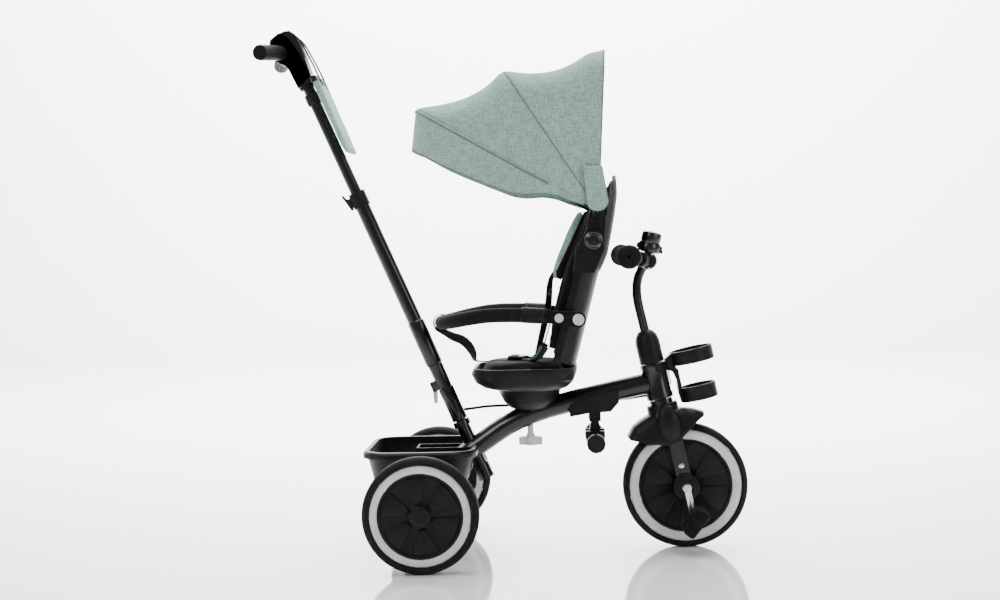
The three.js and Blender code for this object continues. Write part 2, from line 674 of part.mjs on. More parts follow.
function handleHead() {
  const l = handleGrip.height;
  const body = slab([[-17, l - 80], [-19, l - 26], [-34, l - 14], [-38, l + 16], [-28, l + 32], [-6,
      l + 38],
    [8, l + 20], [16, l - 18], [17, l - 68]], -24, 24);
  const neck = barZ(17.5, l - 86, l - 48);
  const barHole = barY(handleGrip.radius + 4 * gap, -60, 60).translate(-22, 0, handleGrip.height);
  return cut(join(body, neck), barHole, barZ(upperTubeRadius + gap, l - 108, handleTubeTop + 1));
}

function handleGripBar() {
  const { radius, half, sweep, height } = handleGrip;
  const reach = [v3(-22, 26, height), v3(-30, 60, height), v3(-22 - sweep, half, height)];
  const mirrored = reach.map((point) => v3(point.x, -point.y, point.z)).reverse();
  return tube([...mirrored, v3(-22, 0, height), ...reach], radius, { sides: 14, steps: 10 });
}

// Flat pouch hung from the handle on the seat's side.
function bag() {
  const ring = (x0, x1, half, l) => [v3(x0, -half, l), v3(x0 + 3, -half - 4, l), v3(x1 - 3, -half - 4,
      l), v3(x1, -half, l),
    v3(x1, half, l), v3(x1 - 3, half + 4, l), v3(x0 + 3, half + 4, l), v3(x0, half, l)];
  const top = handleGrip.height - 82;
  return loft([ring(18.6, 28, 84, top - 165), ring(18.2, 36, 94, top - 152), ring(18.2, 37, 96, top - 96),
    ring(18.2, 40, 96, top - 26), ring(18.2, 43, 92, top)]);
}

add(handle, 'handle_lower_tube', handleLowerTube(), 'frameBlack');
const leverHolder = new THREE.Group();
leverHolder.position.set(-19.6, 0, 154);
handle.add(leverHolder);
add(leverHolder, 'quick_release_lever', quickReleaseLever(), 'knobGrey');
add(handle, 'handle_clamp', handleClamp(), 'plasticBlack');
add(handle, 'handle_clamp_lever', clampLever(), 'plasticBlack');
add(handle, 'handle_upper_tube', cut(barZ(upperTubeRadius, lowerTube.top - upperTubeInsert, handleTubeTop),
  barZ(upperTubeRadius - tubeWall, 300, handleTubeTop + 25)), 'frameBlack');
add(handle, 'handle_head', handleHead(), 'plasticBlack');
add(handle, 'handle_grip_bar', handleGripBar(), 'rubberBlack');
add(handle, 'handle_bag', bag(), 'canopyGreen');

// Rod that carries the handle's turning to the fork; its front eye is open enough for the two tilts.
function steeringRod() {
  handle.updateMatrix();
  steering.updateMatrix();
  const rear = rodPin.rear.clone().setZ(82).applyMatrix4(handle.matrix);
  const front = rodPin.front.clone().setZ(armLevel + 11).applyMatrix4(steering.matrix);
  const y = armReach;
  const route = [rear, v3(98, y, 287), v3(126, y, 290), v3(153, y, 290.5), v3(300, y, 294), v3(400, y,
      300), front];
  const leaned = (tiltDegrees) => new THREE.Matrix4().makeRotationY(rad(-tiltDegrees));
  const rearEye = barZ(7.5, -3.2, 3.2).applyMatrix4(leaned(handleTilt)).translate(rear.x, y, rear.z);
  const frontEye = barZ(9, -3.2, 3.2).applyMatrix4(leaned(steeringTilt)).translate(front.x, y, front.z);
  const rearHole = inFrame(barZ(3 + gap, 60, 100).translate(0, armReach, 0), handle);
  const frontHole = inFrame(barZ(3 + 2.6, armLevel, armLevel + 30).translate(0, armReach, 0), steering);
  const body = join(tube(route, rodRadius, { sides: 8, steps: 14 }), rearEye, frontEye);
  return cut(body, rearHole, frontHole);
}

add(group, 'steering_rod', steeringRod(), 'steel');

// ---------------------------------------------------------------- seat
const seat = place(group, 0, 0);

function seatShell() {
  const levels = [[140, 272, seatHalf - 33, seatFloor, 50], [118, 286, seatHalf - 15, 337, 56],
    [101, 297, seatHalf - 5, 348, 58], [92, 304, seatHalf, 366, 60], [97, 306, seatHalf - 1, seatRim, 58]];
  const outer = loft(levels.map(([x0, x1, half, z, corner]) => levelRing(roundedPlan(x0, x1, half,
      corner, 6), z)));
  const well = raise(roundedPlan(103, 298, seatHalf - 8, 50, 6), 349, seatRim + 5);
  return cut(outer, well, barZ(boltRadius + runningGap, 320, 341).translate(swivelX, 0, 0));
}

function seatCushion() {
  const level = (x0, x1, half, z) => levelRing(roundedPlan(x0, x1, half, 50, 6), z);
  return loft([level(106, 283, seatHalf - 11, 349.4), level(104, 285, seatHalf - 9, 370), level(106, 280,
      seatHalf - 20, seatRim),
    level(110, 278, seatHalf - 21, 386), level(118, 272, seatHalf - 27, 393), level(134, 262,
        seatHalf - 42, cushionTop)]);
}

// C-shaped section of the backrest: a curved back with two side wings, as [x, y] points.
function wingSection(front, back, half, wall) {
  const bend = (inset) => [[front, half - inset], [back - 34, half - inset], [back - 15, half - 12 - inset],
    [back - 3 - inset, half - 38], [back - inset, half - 66]];
  const outer = bend(0);
  const inner = bend(wall);
  const mirror = (points) => points.map(([x, y]) => [x, -y]).reverse();
  return [...outer, ...mirror(outer), ...inner.map(([x, y]) => [x, -y]), ...mirror(inner.map(([x,
      y]) => [x, -y]))];
}

const back = place(seat, backFoot.x, backFoot.z, backTilt);
const shellFront = -53;
const shellBack = -5;

function backrestShell() {
  return raise(wingSection(shellFront, shellBack, backHalf, shellWall), 13, backTop);
}

function backCushion() {
  const outer = wingSection(-76, shellBack - shellWall - gap, backHalf - shellWall - gap, 22);
  return raise(outer, 35, backTop - 8);
}

function shoulderPad(y) {
  return slab([[-97, 184], [-93, 172], [-84, 170], [-80, 184], [-57, 312], [-62, 318], [-71, 314]],
      y - 17, y + 17);
}

add(seat, 'seat_shell', seatShell(), 'plasticBlack');
add(seat, 'seat_cushion', seatCushion(), 'linerBlack');
add(back, 'backrest_shell', backrestShell(), 'plasticBlack');
add(back, 'backrest_cushion', backCushion(), 'linerBlack');
for (const [side, sign] of sides) add(back, `shoulder_pad_${side}`, shoulderPad(sign * 44), 'canopyGreen');

// ---------------------------------------------------------------- bumper bar
const armOuter = armInner + armThick;

function bumperBar() {
  const half = [v3(250, armInner + 7, 482), v3(190, 118, 485.5), v3(129, 111, 485), v3(82, 90, 478),
      v3(46, 52, 470.5)];
  const mirrored = half.map((point) => v3(point.x, -point.y, point.z));
  const bar = tube([...half, v3(30, 0, 468), ...mirrored.reverse()], bumperRadius, { sides: 12,
      steps: 22 });
  const arms = sides.map(([, sign]) => {
    const y0 = sign > 0 ? armInner : -armOuter;
    return join(slab([[240, 470], [bumperPivot.x, 460], [bumperPivot.x, 490], [240, 494]], y0,
        y0 + armThick),
      barY(15, y0, y0 + armThick).translate(bumperPivot.x, 0, bumperPivot.z));
  });
  const pockets = sides.flatMap(([, sign]) => {
    const y0 = sign > 0 ? armOuter - 7 : -armOuter - 3;
    return [barY(pivotButtonRadius + runningGap, y0, y0 + 10).translate(bumperPivot.x, 0, bumperPivot.z),
      barY(releaseButtonRadius + runningGap, y0, y0 + 10).translate(271, 0, 478.5)];
  });
  const body = cut(join(bar, ...arms), ...pockets);
  const pivotHoles = barY(4 + runningGap, -150, 150).translate(bumperPivot.x, 0, bumperPivot.z);
  return cut(body, pivotHoles);
}

const buttonThick = 5;
function button(radius, sign) {
  const outerFace = armOuter + 1.5;
  const y0 = sign > 0 ? outerFace - buttonThick : -outerFace;
  return barY(radius, y0, y0 + buttonThick);
}

add(seat, 'bumper_bar', bumperBar(), 'rubberBlack');
for (const [side, sign] of sides) {
  const pivotHolder = place(seat, bumperPivot.x, bumperPivot.z);
  add(pivotHolder, `pivot_button_${side}`, button(pivotButtonRadius, sign), 'silver');
  const releaseHolder = place(seat, 271, 478.5);
  add(releaseHolder, `release_button_${side}`, button(releaseButtonRadius, sign), 'silver');
}

// ---------------------------------------------------------------- canopy
function canopyBracket(sign) {
  const y0 = sign > 0 ? backHalf + gap : -canopyHalf + 2;
  const y1 = sign > 0 ? canopyHalf - 2 : -backHalf - gap;
  const plate = slab([[300, 566], [342, 566], [360, 608], [366, 668], [358, 696], [344, 696], [338, 668],
      [322, 640],
    [306, 612]], y0, y1);
  const knob = barY(18.6, sign * canopyHalf - (sign > 0 ? 2 : 12),
      sign * canopyHalf + (sign > 0 ? 12 : 2)).translate(341, 0, 630);
  const pinLength = 3 * (hubThick + gap) + 3;
  const pin = barY(4, sign > 0 ? y1 - 2 : y0 - pinLength, sign > 0 ? y1 + pinLength : y0 + 2)
    .translate(canopyPivot.x, 0, canopyPivot.z);
  const cap = barY(11.5, sign > 0 ? y0 : y1 - 8, sign > 0 ? y0 + 8 : y1).translate(canopyPivot.x, 0,
      canopyPivot.z);
  return join(plate, knob, pin, cap);
}

// Half-width of hoop number i: each one sits outside the one before it.
const hoopHalf = (i) => canopyHalf - 2 + gap + hubThick / 2 + i * (hubThick + gap);
const cornerRadius = 62;

// Points along a hoop from the left pivot over the top to the right pivot, at a given fraction of its length.
function hoopPath(half, length, steps = 5) {
  const arc = (sign) => Array.from({ length: steps + 1 }, (_, i) => {
    const turn = (i / steps) * (Math.PI / 2);
    return v3(0, sign * (half - cornerRadius + cornerRadius * Math.cos(turn)),
        length - cornerRadius + cornerRadius * Math.sin(turn));
  });
  return [...arc(1), ...arc(-1).reverse()];
}

function hoop(i) {
  const half = hoopHalf(i);
  const { length } = hoops[i];
  const points = [v3(0, half, 8), ...hoopPath(half, length), v3(0, -half, 8)];
  const route = new THREE.CurvePath();
  for (let k = 0; k + 1 < points.length; k += 1) route.add(new THREE.LineCurve3(points[k], points[k + 1]));
  const section = (point, direction) => ringPoints(1, 6).map(({ x, y }) => {
    const across = v3(1, 0, 0);
    const up = across.clone().cross(direction).normalize();
    return point.clone().addScaledVector(across, x * hoopRadius).addScaledVector(up, y * hoopThick);
  });
  const rings = points.map((point, k) => {
    const before = points[Math.max(k - 1, 0)];
    const after = points[Math.min(k + 1, points.length - 1)];
    return section(point, after.clone().sub(before).normalize());
  });
  const eyes = sides.map(([, sign]) => {
    return barY(10, sign * half - hubThick / 2, sign * half + hubThick / 2);
  });
  const holes = barY(4 + runningGap, -200, 200);
  return cut(join(loft(rings), ...eyes), holes);
}

// Fabric between two hoops (or hanging from the last one), as a thin shell that runs over the child's head.
function canopyPanel(from, to, startRadius) {
  const count = 4;
  const ends = [from, to].map(({ half, length, angle, aside }) => {
    const stations = [v3(0, half, startRadius), ...hoopPath(half, length), v3(0, -half, startRadius)];
    return stations.map((point) => point.setX(aside).applyAxisAngle(v3(0, 1, 0), rad(-angle)));
  });
  return loft(ends[0].map((start, k) => {
    const finish = ends[1][k];
    const inward = v3(-start.x - finish.x, -(start.y + finish.y) * 0.35, -start.z - finish.z).normalize();
    if (k === 0 || k === ends[0].length - 1) inward.set(0, -Math.sign(start.y), 0);
    const outer = Array.from({ length: count + 1 }, (_, i) => {
      const t = i / count;
      const sag = 4 * (from.sag ?? 0) * t * (1 - t) * Math.min(1, Math.abs(start.z + finish.z) / 300);
      return start.clone().lerp(finish, t).addScaledVector(inward, sag);
    });
    const inner = outer.map((point) => point.clone().addScaledVector(inward, fabric)).reverse();
    return [...outer, ...inner];
  }).reverse());
}

const hoopHolders = hoops.map((_, i) => place(seat, canopyPivot.x, canopyPivot.z, -hoops[i].angle));
for (const [side, sign] of sides) add(seat, `canopy_bracket_${side}`, canopyBracket(sign), 'plasticBlack');
hoops.forEach(({ name }, i) => add(hoopHolders[i], name, hoop(i), 'plasticBlack'));

function edge(i, towards, sag) {
  const { angle, length } = hoops[i];
  return { half: hoopHalf(i), length, angle, aside: -towards * (hoopRadius + gap), sag };
}

const canopy = place(seat, canopyPivot.x, canopyPivot.z);
add(canopy, 'canopy_panel_rear', canopyPanel(edge(0, 1, 14), edge(1, -1), 60), 'canopyGreen');
add(canopy, 'canopy_panel_front', canopyPanel(edge(1, 1, 12), edge(2, -1), 60), 'canopyGreen');
const visorEdge = { half: hoopHalf(2), length: 385, angle: 59.5 + 12, aside: 0, sag: 0 };
add(canopy, 'canopy_visor', canopyPanel(edge(2, 1, 0), visorEdge, 60), 'canopyGreen');

// ---------------------------------------------------------------- origin at bottom centre
group.updateMatrixWorld(true);
const extent = new THREE.Box3().setFromObject(group, true);
const centre = extent.getCenter(new THREE.Vector3());
group.position.set(-centre.x, -centre.y, -extent.min.z);
group.updateMatrixWorld(true);

export default group;
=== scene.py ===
# The looks of a child's tricycle: a gloss black tube frame, big-ringed wheels, a bucket seat under a
# fold-back fabric canopy, and a long steering handle with a small bag.
# Shapes are drawn in millimetres in the same leaning frames as the CAD and put in place at the end.
import math

import bmesh
import bpy
from mathutils import Matrix, Vector, noise
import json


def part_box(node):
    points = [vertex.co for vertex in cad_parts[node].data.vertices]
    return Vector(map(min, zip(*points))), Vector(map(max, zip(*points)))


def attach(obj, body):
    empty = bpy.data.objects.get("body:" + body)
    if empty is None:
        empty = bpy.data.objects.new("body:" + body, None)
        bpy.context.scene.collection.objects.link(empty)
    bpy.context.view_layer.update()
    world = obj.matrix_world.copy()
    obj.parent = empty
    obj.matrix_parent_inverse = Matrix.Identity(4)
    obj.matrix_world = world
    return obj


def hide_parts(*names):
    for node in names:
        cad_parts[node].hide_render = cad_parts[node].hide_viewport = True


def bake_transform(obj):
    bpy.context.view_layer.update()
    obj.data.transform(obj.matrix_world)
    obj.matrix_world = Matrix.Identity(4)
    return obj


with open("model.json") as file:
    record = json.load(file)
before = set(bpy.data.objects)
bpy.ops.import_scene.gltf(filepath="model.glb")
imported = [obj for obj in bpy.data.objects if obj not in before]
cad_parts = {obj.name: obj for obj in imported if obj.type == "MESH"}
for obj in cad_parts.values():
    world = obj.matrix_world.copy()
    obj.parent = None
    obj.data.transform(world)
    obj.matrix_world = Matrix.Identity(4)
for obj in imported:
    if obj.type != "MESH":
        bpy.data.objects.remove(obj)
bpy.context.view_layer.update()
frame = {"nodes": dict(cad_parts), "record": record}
record = frame["record"]
mm = 0.001
mergeMm = 0.002  # corners of a CAD mesh nearer than this are one corner
flatDegrees = 0.6  # faces that meet flatter than this are one face
stuffingFrames = 20
bothSides = (("left", 1), ("right", -1))
frontHub, rearHub, forkLean = (522, 127), (0, 112.5), -12
quarterTurn = Matrix.Rotation(math.radians(90), 4, "X")  # brings Y up to Z
mirrorY = Matrix.Scale(-1, 4, (0, 1, 0))

bodyOf = {node: body for body, nodes in record["behaviour"]["bodies"].items() for node in nodes}
slotOf = {part["node"]: part["material_slot"] for part in record["subparts"]}
axle = sum(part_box("rear_axle_rod"), Vector()) / 2


# Places
def point(x, y, z):  # mm; x from the rear axle, z from the floor
    return Vector((axle.x + x * mm, y * mm, z * mm))


def leaning(x, z, tilt=0.0, y=0.0):  # a frame in mm that leans in the side view
    turned = Matrix.Rotation(math.radians(tilt), 4, "Y")
    return Matrix.Translation(point(x, y, z)) @ turned @ Matrix.Scale(mm, 4)


def along(start, direction):  # a frame whose Y axis runs along a direction
    turned = Vector((0, 1, 0)).rotation_difference(Vector(direction)).to_matrix().to_4x4()
    return Matrix.Translation(Vector(start)) @ turned


upright = leaning(0, 0)
steeringFrame = leaning(512.805, 125.046, forkLean)
handleFrame = leaning(90, 207, -23.4)
backFrame = leaning(304, 365, 15)
canopyFrame = leaning(352, 686)
bellTilt = Matrix.Rotation(math.radians(25), 4, "Y")
bellFrame = steeringFrame @ Matrix.Translation((33.5, -36, 464.8)) @ bellTilt
crankFrame = leaning(*frontHub, forkLean)


# Colour and nodes
def linear(hexColour):
    channels = [int(hexColour[i:i + 2], 16) / 255 for i in (1, 3, 5)]
    return [c / 12.92 if c <= 0.04045 else ((c + 0.055) / 1.055) ** 2.4 for c in channels] + [1.0]


def addNode(tree, kind, settings=None, links=None):
    node = tree.nodes.new(kind)
    for key, value in (settings or {}).items():
        if key in node.inputs.keys():
            node.inputs[key].default_value = value
        else:
            setattr(node, key, value)
    for key, source in (links or {}).items():
        tree.links.new(source, node.inputs[key])
    return node


def newSurface(name, hexColour, shaderValues):
    material = bpy.data.materials.new(name)
    material.use_nodes = True
    tree = material.node_tree
    shader = tree.nodes["Principled BSDF"]
    shader.inputs["Base Color"].default_value = linear(hexColour)
    for key, value in shaderValues.items():
        shader.inputs[key].default_value = value
    coords = addNode(tree, "ShaderNodeTexCoord")
    return material, tree, shader, coords.outputs["Object"]


# Mottles the colour a little and roughens the surface with one grain, sized in mm.
def grainInto(tree, shader, where, hexes, colourMm, roughness, grainMm, depth):
    patches = addNode(tree, "ShaderNodeTexNoise", {"Scale": 1 / (colourMm * mm), "Detail": 3.0},
                      {"Vector": where})
    ramp = addNode(tree, "ShaderNodeValToRGB", None, {"Fac": patches.outputs["Fac"]})
    ramp.color_ramp.elements[0].position = 0.35
    ramp.color_ramp.elements[1].position = 0.65
    for element, colour in zip(ramp.color_ramp.elements, hexes):
        element.color = linear(colour)
    tree.links.new(ramp.outputs["Color"], shader.inputs["Base Color"])
    span = addNode(tree, "ShaderNodeMapRange", {"To Min": roughness[0], "To Max": roughness[1]},
                   {"Value": patches.outputs["Fac"]})
    tree.links.new(span.outputs["Result"], shader.inputs["Roughness"])
    grain = addNode(tree, "ShaderNodeTexNoise", {"Scale": 1 / (grainMm * mm), "Detail": 2.0},
                    {"Vector": where})
    bump = addNode(tree, "ShaderNodeBump", {"Strength": 0.5, "Distance": depth * mm},
                   {"Height": grain.outputs["Fac"]})
    tree.links.new(bump.outputs["Normal"], shader.inputs["Normal"])
    return bump


# Lines of a worn colour where edges have rubbed: the Pointiness of the surface picks the edges out.
def wearInto(tree, shader, hexColour, share):
    shape = addNode(tree, "ShaderNodeNewGeometry")
    edge = addNode(tree, "ShaderNodeMapRange", {"From Min": 0.54, "From Max": 0.66, "To Max": share},
                   {"Value": shape.outputs["Pointiness"]})
    base = shader.inputs["Base Color"].links[0].from_socket
    mix = addNode(tree, "ShaderNodeMix", {"data_type": "RGBA"})
    tree.links.new(edge.outputs["Result"], mix.inputs["Factor"])
    tree.links.new(base, mix.inputs["A"])
    mix.inputs["B"].default_value = linear(hexColour)
    tree.links.new([out for out in mix.outputs if out.type == "RGBA"][0], shader.inputs["Base Color"])


# Powder coat, baked gloss black: a deep shine with a faint orange peel, about 2 mm across.
def powderCoat():
    material, tree, shader, where = newSurface("powder_coat_gloss_black", "#070708", {
        "Roughness": 0.24, "IOR": 1.5, "Specular IOR Level": 0.4, "Coat Weight": 0.25,
        "Coat Roughness": 0.12})
    grainInto(tree, shader, where, ("#060607", "#0a0a0b"), 35, (0.2, 0.3), 2.2, 0.05)
    wearInto(tree, shader, "#19191b", 0.35)
    return material


# Polypropylene, injection moulded in a spark-eroded tool: a fine even grain and a soft shine.
def mouldedPlastic():
    material, tree, shader, where = newSurface("polypropylene_moulded_black", "#080809", {
        "IOR": 1.49, "Specular IOR Level": 0.24})
    grainInto(tree, shader, where, ("#080809", "#0e0e10"), 28, (0.4, 0.52), 1.1, 0.09)
    wearInto(tree, shader, "#1d1d20", 0.4)
    return material


# ABS, moulded and polished: a hard clear shine with hardly any grain.
def polishedAbs(name="abs_polished_black", dark="#070708", pale="#0c0c0e"):
    material, tree, shader, where = newSurface(name, dark,
                                               {"IOR": 1.54, "Coat Weight": 0.3, "Coat Roughness": 0.08})
    grainInto(tree, shader, where, (dark, pale), 30, (0.2, 0.3), 4, 0.02)
    return material


# EVA foam tyre, moulded: dull, with a pebbled skin of about 1.5 mm and pores of about 3 mm.
def foamTyre():
    material, tree, shader, where = newSurface("eva_foam_tyre", "#161617",
                                               {"IOR": 1.45, "Specular IOR Level": 0.25})
    bump = grainInto(tree, shader, where, ("#0c0c0d", "#141416"), 9, (0.68, 0.85), 1.6, 0.16)
    pores = addNode(tree, "ShaderNodeTexVoronoi", {"Scale": 1 / (3.2 * mm)}, {"Vector": where})
    second = addNode(tree, "ShaderNodeBump", {"Strength": 0.25, "Distance": 0.12 * mm},
                     {"Height": pores.outputs["Distance"], "Normal": bump.outputs["Normal"]})
    tree.links.new(second.outputs["Normal"], shader.inputs["Normal"])
    return material


# Polypropylene, moulded pale grey: the rings between tyre and disc.
def paleRing():
    material, tree, shader, where = newSurface("polypropylene_pale_grey", "#d3d3d3", {"IOR": 1.49})
    grainInto(tree, shader, where, ("#cdcdce", "#dadada"), 24, (0.42, 0.52), 1.2, 0.05)
    return material


# Chrome plate over steel: a mirror with a few fine polishing marks.
def chromePlate():
    material, tree, shader, where = newSurface("chrome_plate", "#d6d7d9", {"Metallic": 1.0})
    grainInto(tree, shader, where, ("#cfd0d2", "#dedfe1"), 12, (0.07, 0.18), 0.8, 0.01)
    return material


# Steel rod, turned: fine rings round the rod.
def turnedSteel():
    material, tree, shader, where = newSurface("steel_turned", "#8f9092", {"Metallic": 1.0})
    grainInto(tree, shader, where, ("#868789", "#9a9b9d"), 10, (0.3, 0.42), 0.9, 0.03)
    return material


# ABS sprayed with aluminium paint: the press buttons.
def silverPaint():
    material, tree, shader, where = newSurface("abs_silver_paint", "#d9dadb",
                                               {"Metallic": 0.35, "IOR": 1.5})
    grainInto(tree, shader, where, ("#d2d3d4", "#e2e3e4"), 6, (0.26, 0.36), 0.9, 0.03)
    return material


# Nylon, moulded pale grey: the seat knob and the release lever.
def paleNylon():
    material, tree, shader, where = newSurface("nylon_pale_grey", "#d6d6d3", {
        "IOR": 1.53, "Subsurface Weight": 0.08, "Subsurface Scale": 0.002})
    grainInto(tree, shader, where, ("#cfcfcc", "#dededb"), 14, (0.36, 0.48), 1.3, 0.05)
    wearInto(tree, shader, "#b9b9b5", 0.35)
    return material


# Thermoplastic rubber, moulded: grips and pedals, dull and slightly dusty.
def softRubber():
    material, tree, shader, where = newSurface("rubber_grip_black", "#171718",
                                               {"IOR": 1.5, "Specular IOR Level": 0.12})
    grainInto(tree, shader, where, ("#0c0c0d", "#151517"), 16, (0.6, 0.74), 1.4, 0.1)
    wearInto(tree, shader, "#2e2e31", 0.3)
    return material


# Closed-cell foam sleeve: matt, with a cellular skin of 1 to 2 mm.
def foamSleeve():
    material, tree, shader, where = newSurface("foam_sleeve_black", "#151516", {
        "IOR": 1.4, "Specular IOR Level": 0.2, "Sheen Weight": 0.04, "Sheen Roughness": 0.5})
    grainInto(tree, shader, where, ("#0b0b0c", "#131315"), 11, (0.72, 0.86), 1.3, 0.22)
    return material


# Threads that run along X, Y and Z by turns, so that each face of a piece shows two of them crossing.
def threadNoise(tree, where, threadMm, lengthMm):
    fine, long = 1 / (threadMm * mm), 1 / (lengthMm * mm)
    runs = []
    for stretch in ((long, fine, fine), (fine, long, fine), (fine, fine, long)):
        run = addNode(tree, "ShaderNodeMapping", {"Scale": stretch}, {"Vector": where})
        threads = addNode(tree, "ShaderNodeTexNoise", {"Scale": 1.0, "Detail": 2.0},
                          {"Vector": run.outputs["Vector"]})
        runs.append(threads.outputs["Fac"])
    first = addNode(tree, "ShaderNodeMath", {"operation": "ADD"}, {0: runs[0], 1: runs[1]})
    total = addNode(tree, "ShaderNodeMath", {"operation": "ADD"}, {0: first.outputs["Value"], 1: runs[2]})
    third = addNode(tree, "ShaderNodeMath", {"operation": "DIVIDE"}, {0: total.outputs["Value"]})
    third.inputs[1].default_value = 3.0
    return third.outputs["Value"]


# Melange polyester canvas, woven from pale and dark yarns: the threads are about 0.6 mm, drawn at 2 mm
# because finer ones would not show.
def melangeCanvas(name, dark, middle, pale, threadMm=2.0, lengthMm=16.0, sheen=0.08):
    material, tree, shader, where = newSurface(name, middle, {
        "Roughness": 0.9, "IOR": 1.45, "Specular IOR Level": 0.2, "Sheen Weight": sheen,
        "Sheen Roughness": 0.45})
    threads = threadNoise(tree, where, threadMm, lengthMm)
    ramp = addNode(tree, "ShaderNodeValToRGB", None, {"Fac": threads})
    ramp.color_ramp.elements[0].position = 0.42
    ramp.color_ramp.elements[0].color = linear(dark)
    ramp.color_ramp.elements[1].position = 0.58
    ramp.color_ramp.elements[1].color = linear(pale)
    ramp.color_ramp.elements.new(0.5).color = linear(middle)
    clouds = addNode(tree, "ShaderNodeTexNoise", {"Scale": 1 / (90 * mm), "Detail": 2.0}, {"Vector": where})
    shade = addNode(tree, "ShaderNodeMapRange", {"To Min": 0.94, "To Max": 1.04},
                    {"Value": clouds.outputs["Fac"]})
    tint = addNode(tree, "ShaderNodeHueSaturation", None, {
        "Color": ramp.outputs["Color"], "Value": shade.outputs["Result"]})
    tree.links.new(tint.outputs["Color"], shader.inputs["Base Color"])
    bump = addNode(tree, "ShaderNodeBump", {"Strength": 0.6, "Distance": 0.25 * mm}, {"Height": threads})
    tree.links.new(bump.outputs["Normal"], shader.inputs["Normal"])
    return material


# Polyester webbing: ribs across the strap about 1.6 mm apart.
def webbing(name, dark, pale):
    material, tree, shader, where = newSurface(name, dark, {
        "Roughness": 0.78, "IOR": 1.45, "Specular IOR Level": 0.3, "Sheen Weight": 0.2,
        "Sheen Roughness": 0.4})
    threads = threadNoise(tree, where, 1.4, 5.0)
    ramp = addNode(tree, "ShaderNodeValToRGB", None, {"Fac": threads})
    ramp.color_ramp.elements[0].position = 0.4
    ramp.color_ramp.elements[0].color = linear(dark)
    ramp.color_ramp.elements[1].position = 0.6
    ramp.color_ramp.elements[1].color = linear(pale)
    tree.links.new(ramp.outputs["Color"], shader.inputs["Base Color"])
    bump = addNode(tree, "ShaderNodeBump", {"Strength": 0.7, "Distance": 0.3 * mm}, {"Height": threads})
    tree.links.new(bump.outputs["Normal"], shader.inputs["Normal"])
    return material


surfaces = {
    "frame_black": powderCoat(),
    "plastic_black": mouldedPlastic(),
    "bell_black": polishedAbs(),
    "tyre_foam": foamTyre(),
    "rim_grey": paleRing(),
    "crank_chrome": chromePlate(),
    "axle_steel": turnedSteel(),
    "grip_rubber": softRubber(),
    "bumper_foam": foamSleeve(),
    "button_silver": silverPaint(),
    "knob_grey": paleNylon(),
    "canopy_fabric": melangeCanvas("melange_canvas_sage", "#7a988c", "#8fac9f", "#a5c0b4"),
    "liner_fabric": melangeCanvas("polyester_liner_black", "#0a0a0b", "#101012", "#19191b", 1.8, 10.0,
                                  0.06),
}
flapCloth = melangeCanvas("melange_canvas_charcoal", "#1a1c1d", "#25282a", "#323538", 2.0, 14.0, 0.05)
sageBinding = webbing("webbing_sage", "#4f6b60", "#68857a")
blackWebbing = webbing("webbing_black", "#0a0a0b", "#1a1a1c")
glossFace = polishedAbs("abs_polished_grey", "#54585a", "#64686a")
badgeWhite = polishedAbs("abs_badge_white", "#dfe3e0", "#eef1ef")
print("surfaces made")


# Putting a piece together
def softened(mesh, angle):
    mesh.shade_smooth()
    mesh.set_sharp_from_angle(angle=math.radians(angle))


# Places the drawn shape, gives it its material, hangs it on the body it moves with and hides the CAD parts
# it stands for.
def makePiece(name, bm, place, slotName, body, replaced=(), material=None, crease=38, bevel=0.0,
              subdivide=0, thick=0.0, segments=2):
    bmesh.ops.transform(bm, matrix=place, verts=bm.verts)
    bmesh.ops.recalc_face_normals(bm, faces=bm.faces)
    mesh = bpy.data.meshes.new(name)
    bm.to_mesh(mesh)
    bm.free()
    piece = bpy.data.objects.new(name, mesh)
    bpy.context.collection.objects.link(piece)
    mesh.materials.append(material or surfaces[slotName])
    softened(mesh, crease)
    if thick:
        wall = piece.modifiers.new("wall", "SOLIDIFY")
        wall.thickness = thick * mm
        wall.offset = 0
        wall.use_even_offset = True
    if subdivide:
        finer = piece.modifiers.new("finer", "SUBSURF")
        finer.levels = finer.render_levels = subdivide
    if bevel:
        addBevel(piece, bevel, crease, segments)
    if body:
        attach(piece, body)
    if replaced:
        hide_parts(*replaced)
    return piece


def addBevel(piece, widthMm, crease, segments):
    rounding = piece.modifiers.new("rounding", "BEVEL")
    rounding.width = widthMm * mm
    rounding.segments = segments
    rounding.limit_method = "ANGLE"
    rounding.angle_limit = math.radians(crease)
    rounding.harden_normals = True


def mergedNode(node):  # a copy of a CAD mesh, with its loose triangles joined
    bm = bmesh.new()
    bm.from_mesh(frame["nodes"][node].data)
    bmesh.ops.remove_doubles(bm, verts=bm.verts, dist=mergeMm * mm)
    return bm


# A CAD part shown as a finished moulding or weldment: its facets smoothed and its edges broken.
def dress(node, bevel=0.5, crease=38, material=None, segments=2):
    bm = mergedNode(node)
    bmesh.ops.dissolve_limit(bm, angle_limit=math.radians(flatDegrees), verts=bm.verts, edges=bm.edges)
    return makePiece("finished_" + node, bm, Matrix.Identity(4), slotOf[node], bodyOf[node], [node],
                     material, crease, bevel, segments=segments)


# Shapes, in mm
def joined(*parts):  # several drawn shapes as one
    whole = bmesh.new()
    for part in parts:
        mesh = bpy.data.meshes.new("joining")
        part.to_mesh(mesh)
        part.free()
        whole.from_mesh(mesh)
        bpy.data.meshes.remove(mesh)
    return whole


def moved(bm, matrix):
    bmesh.ops.transform(bm, matrix=matrix, verts=bm.verts)
    return bm


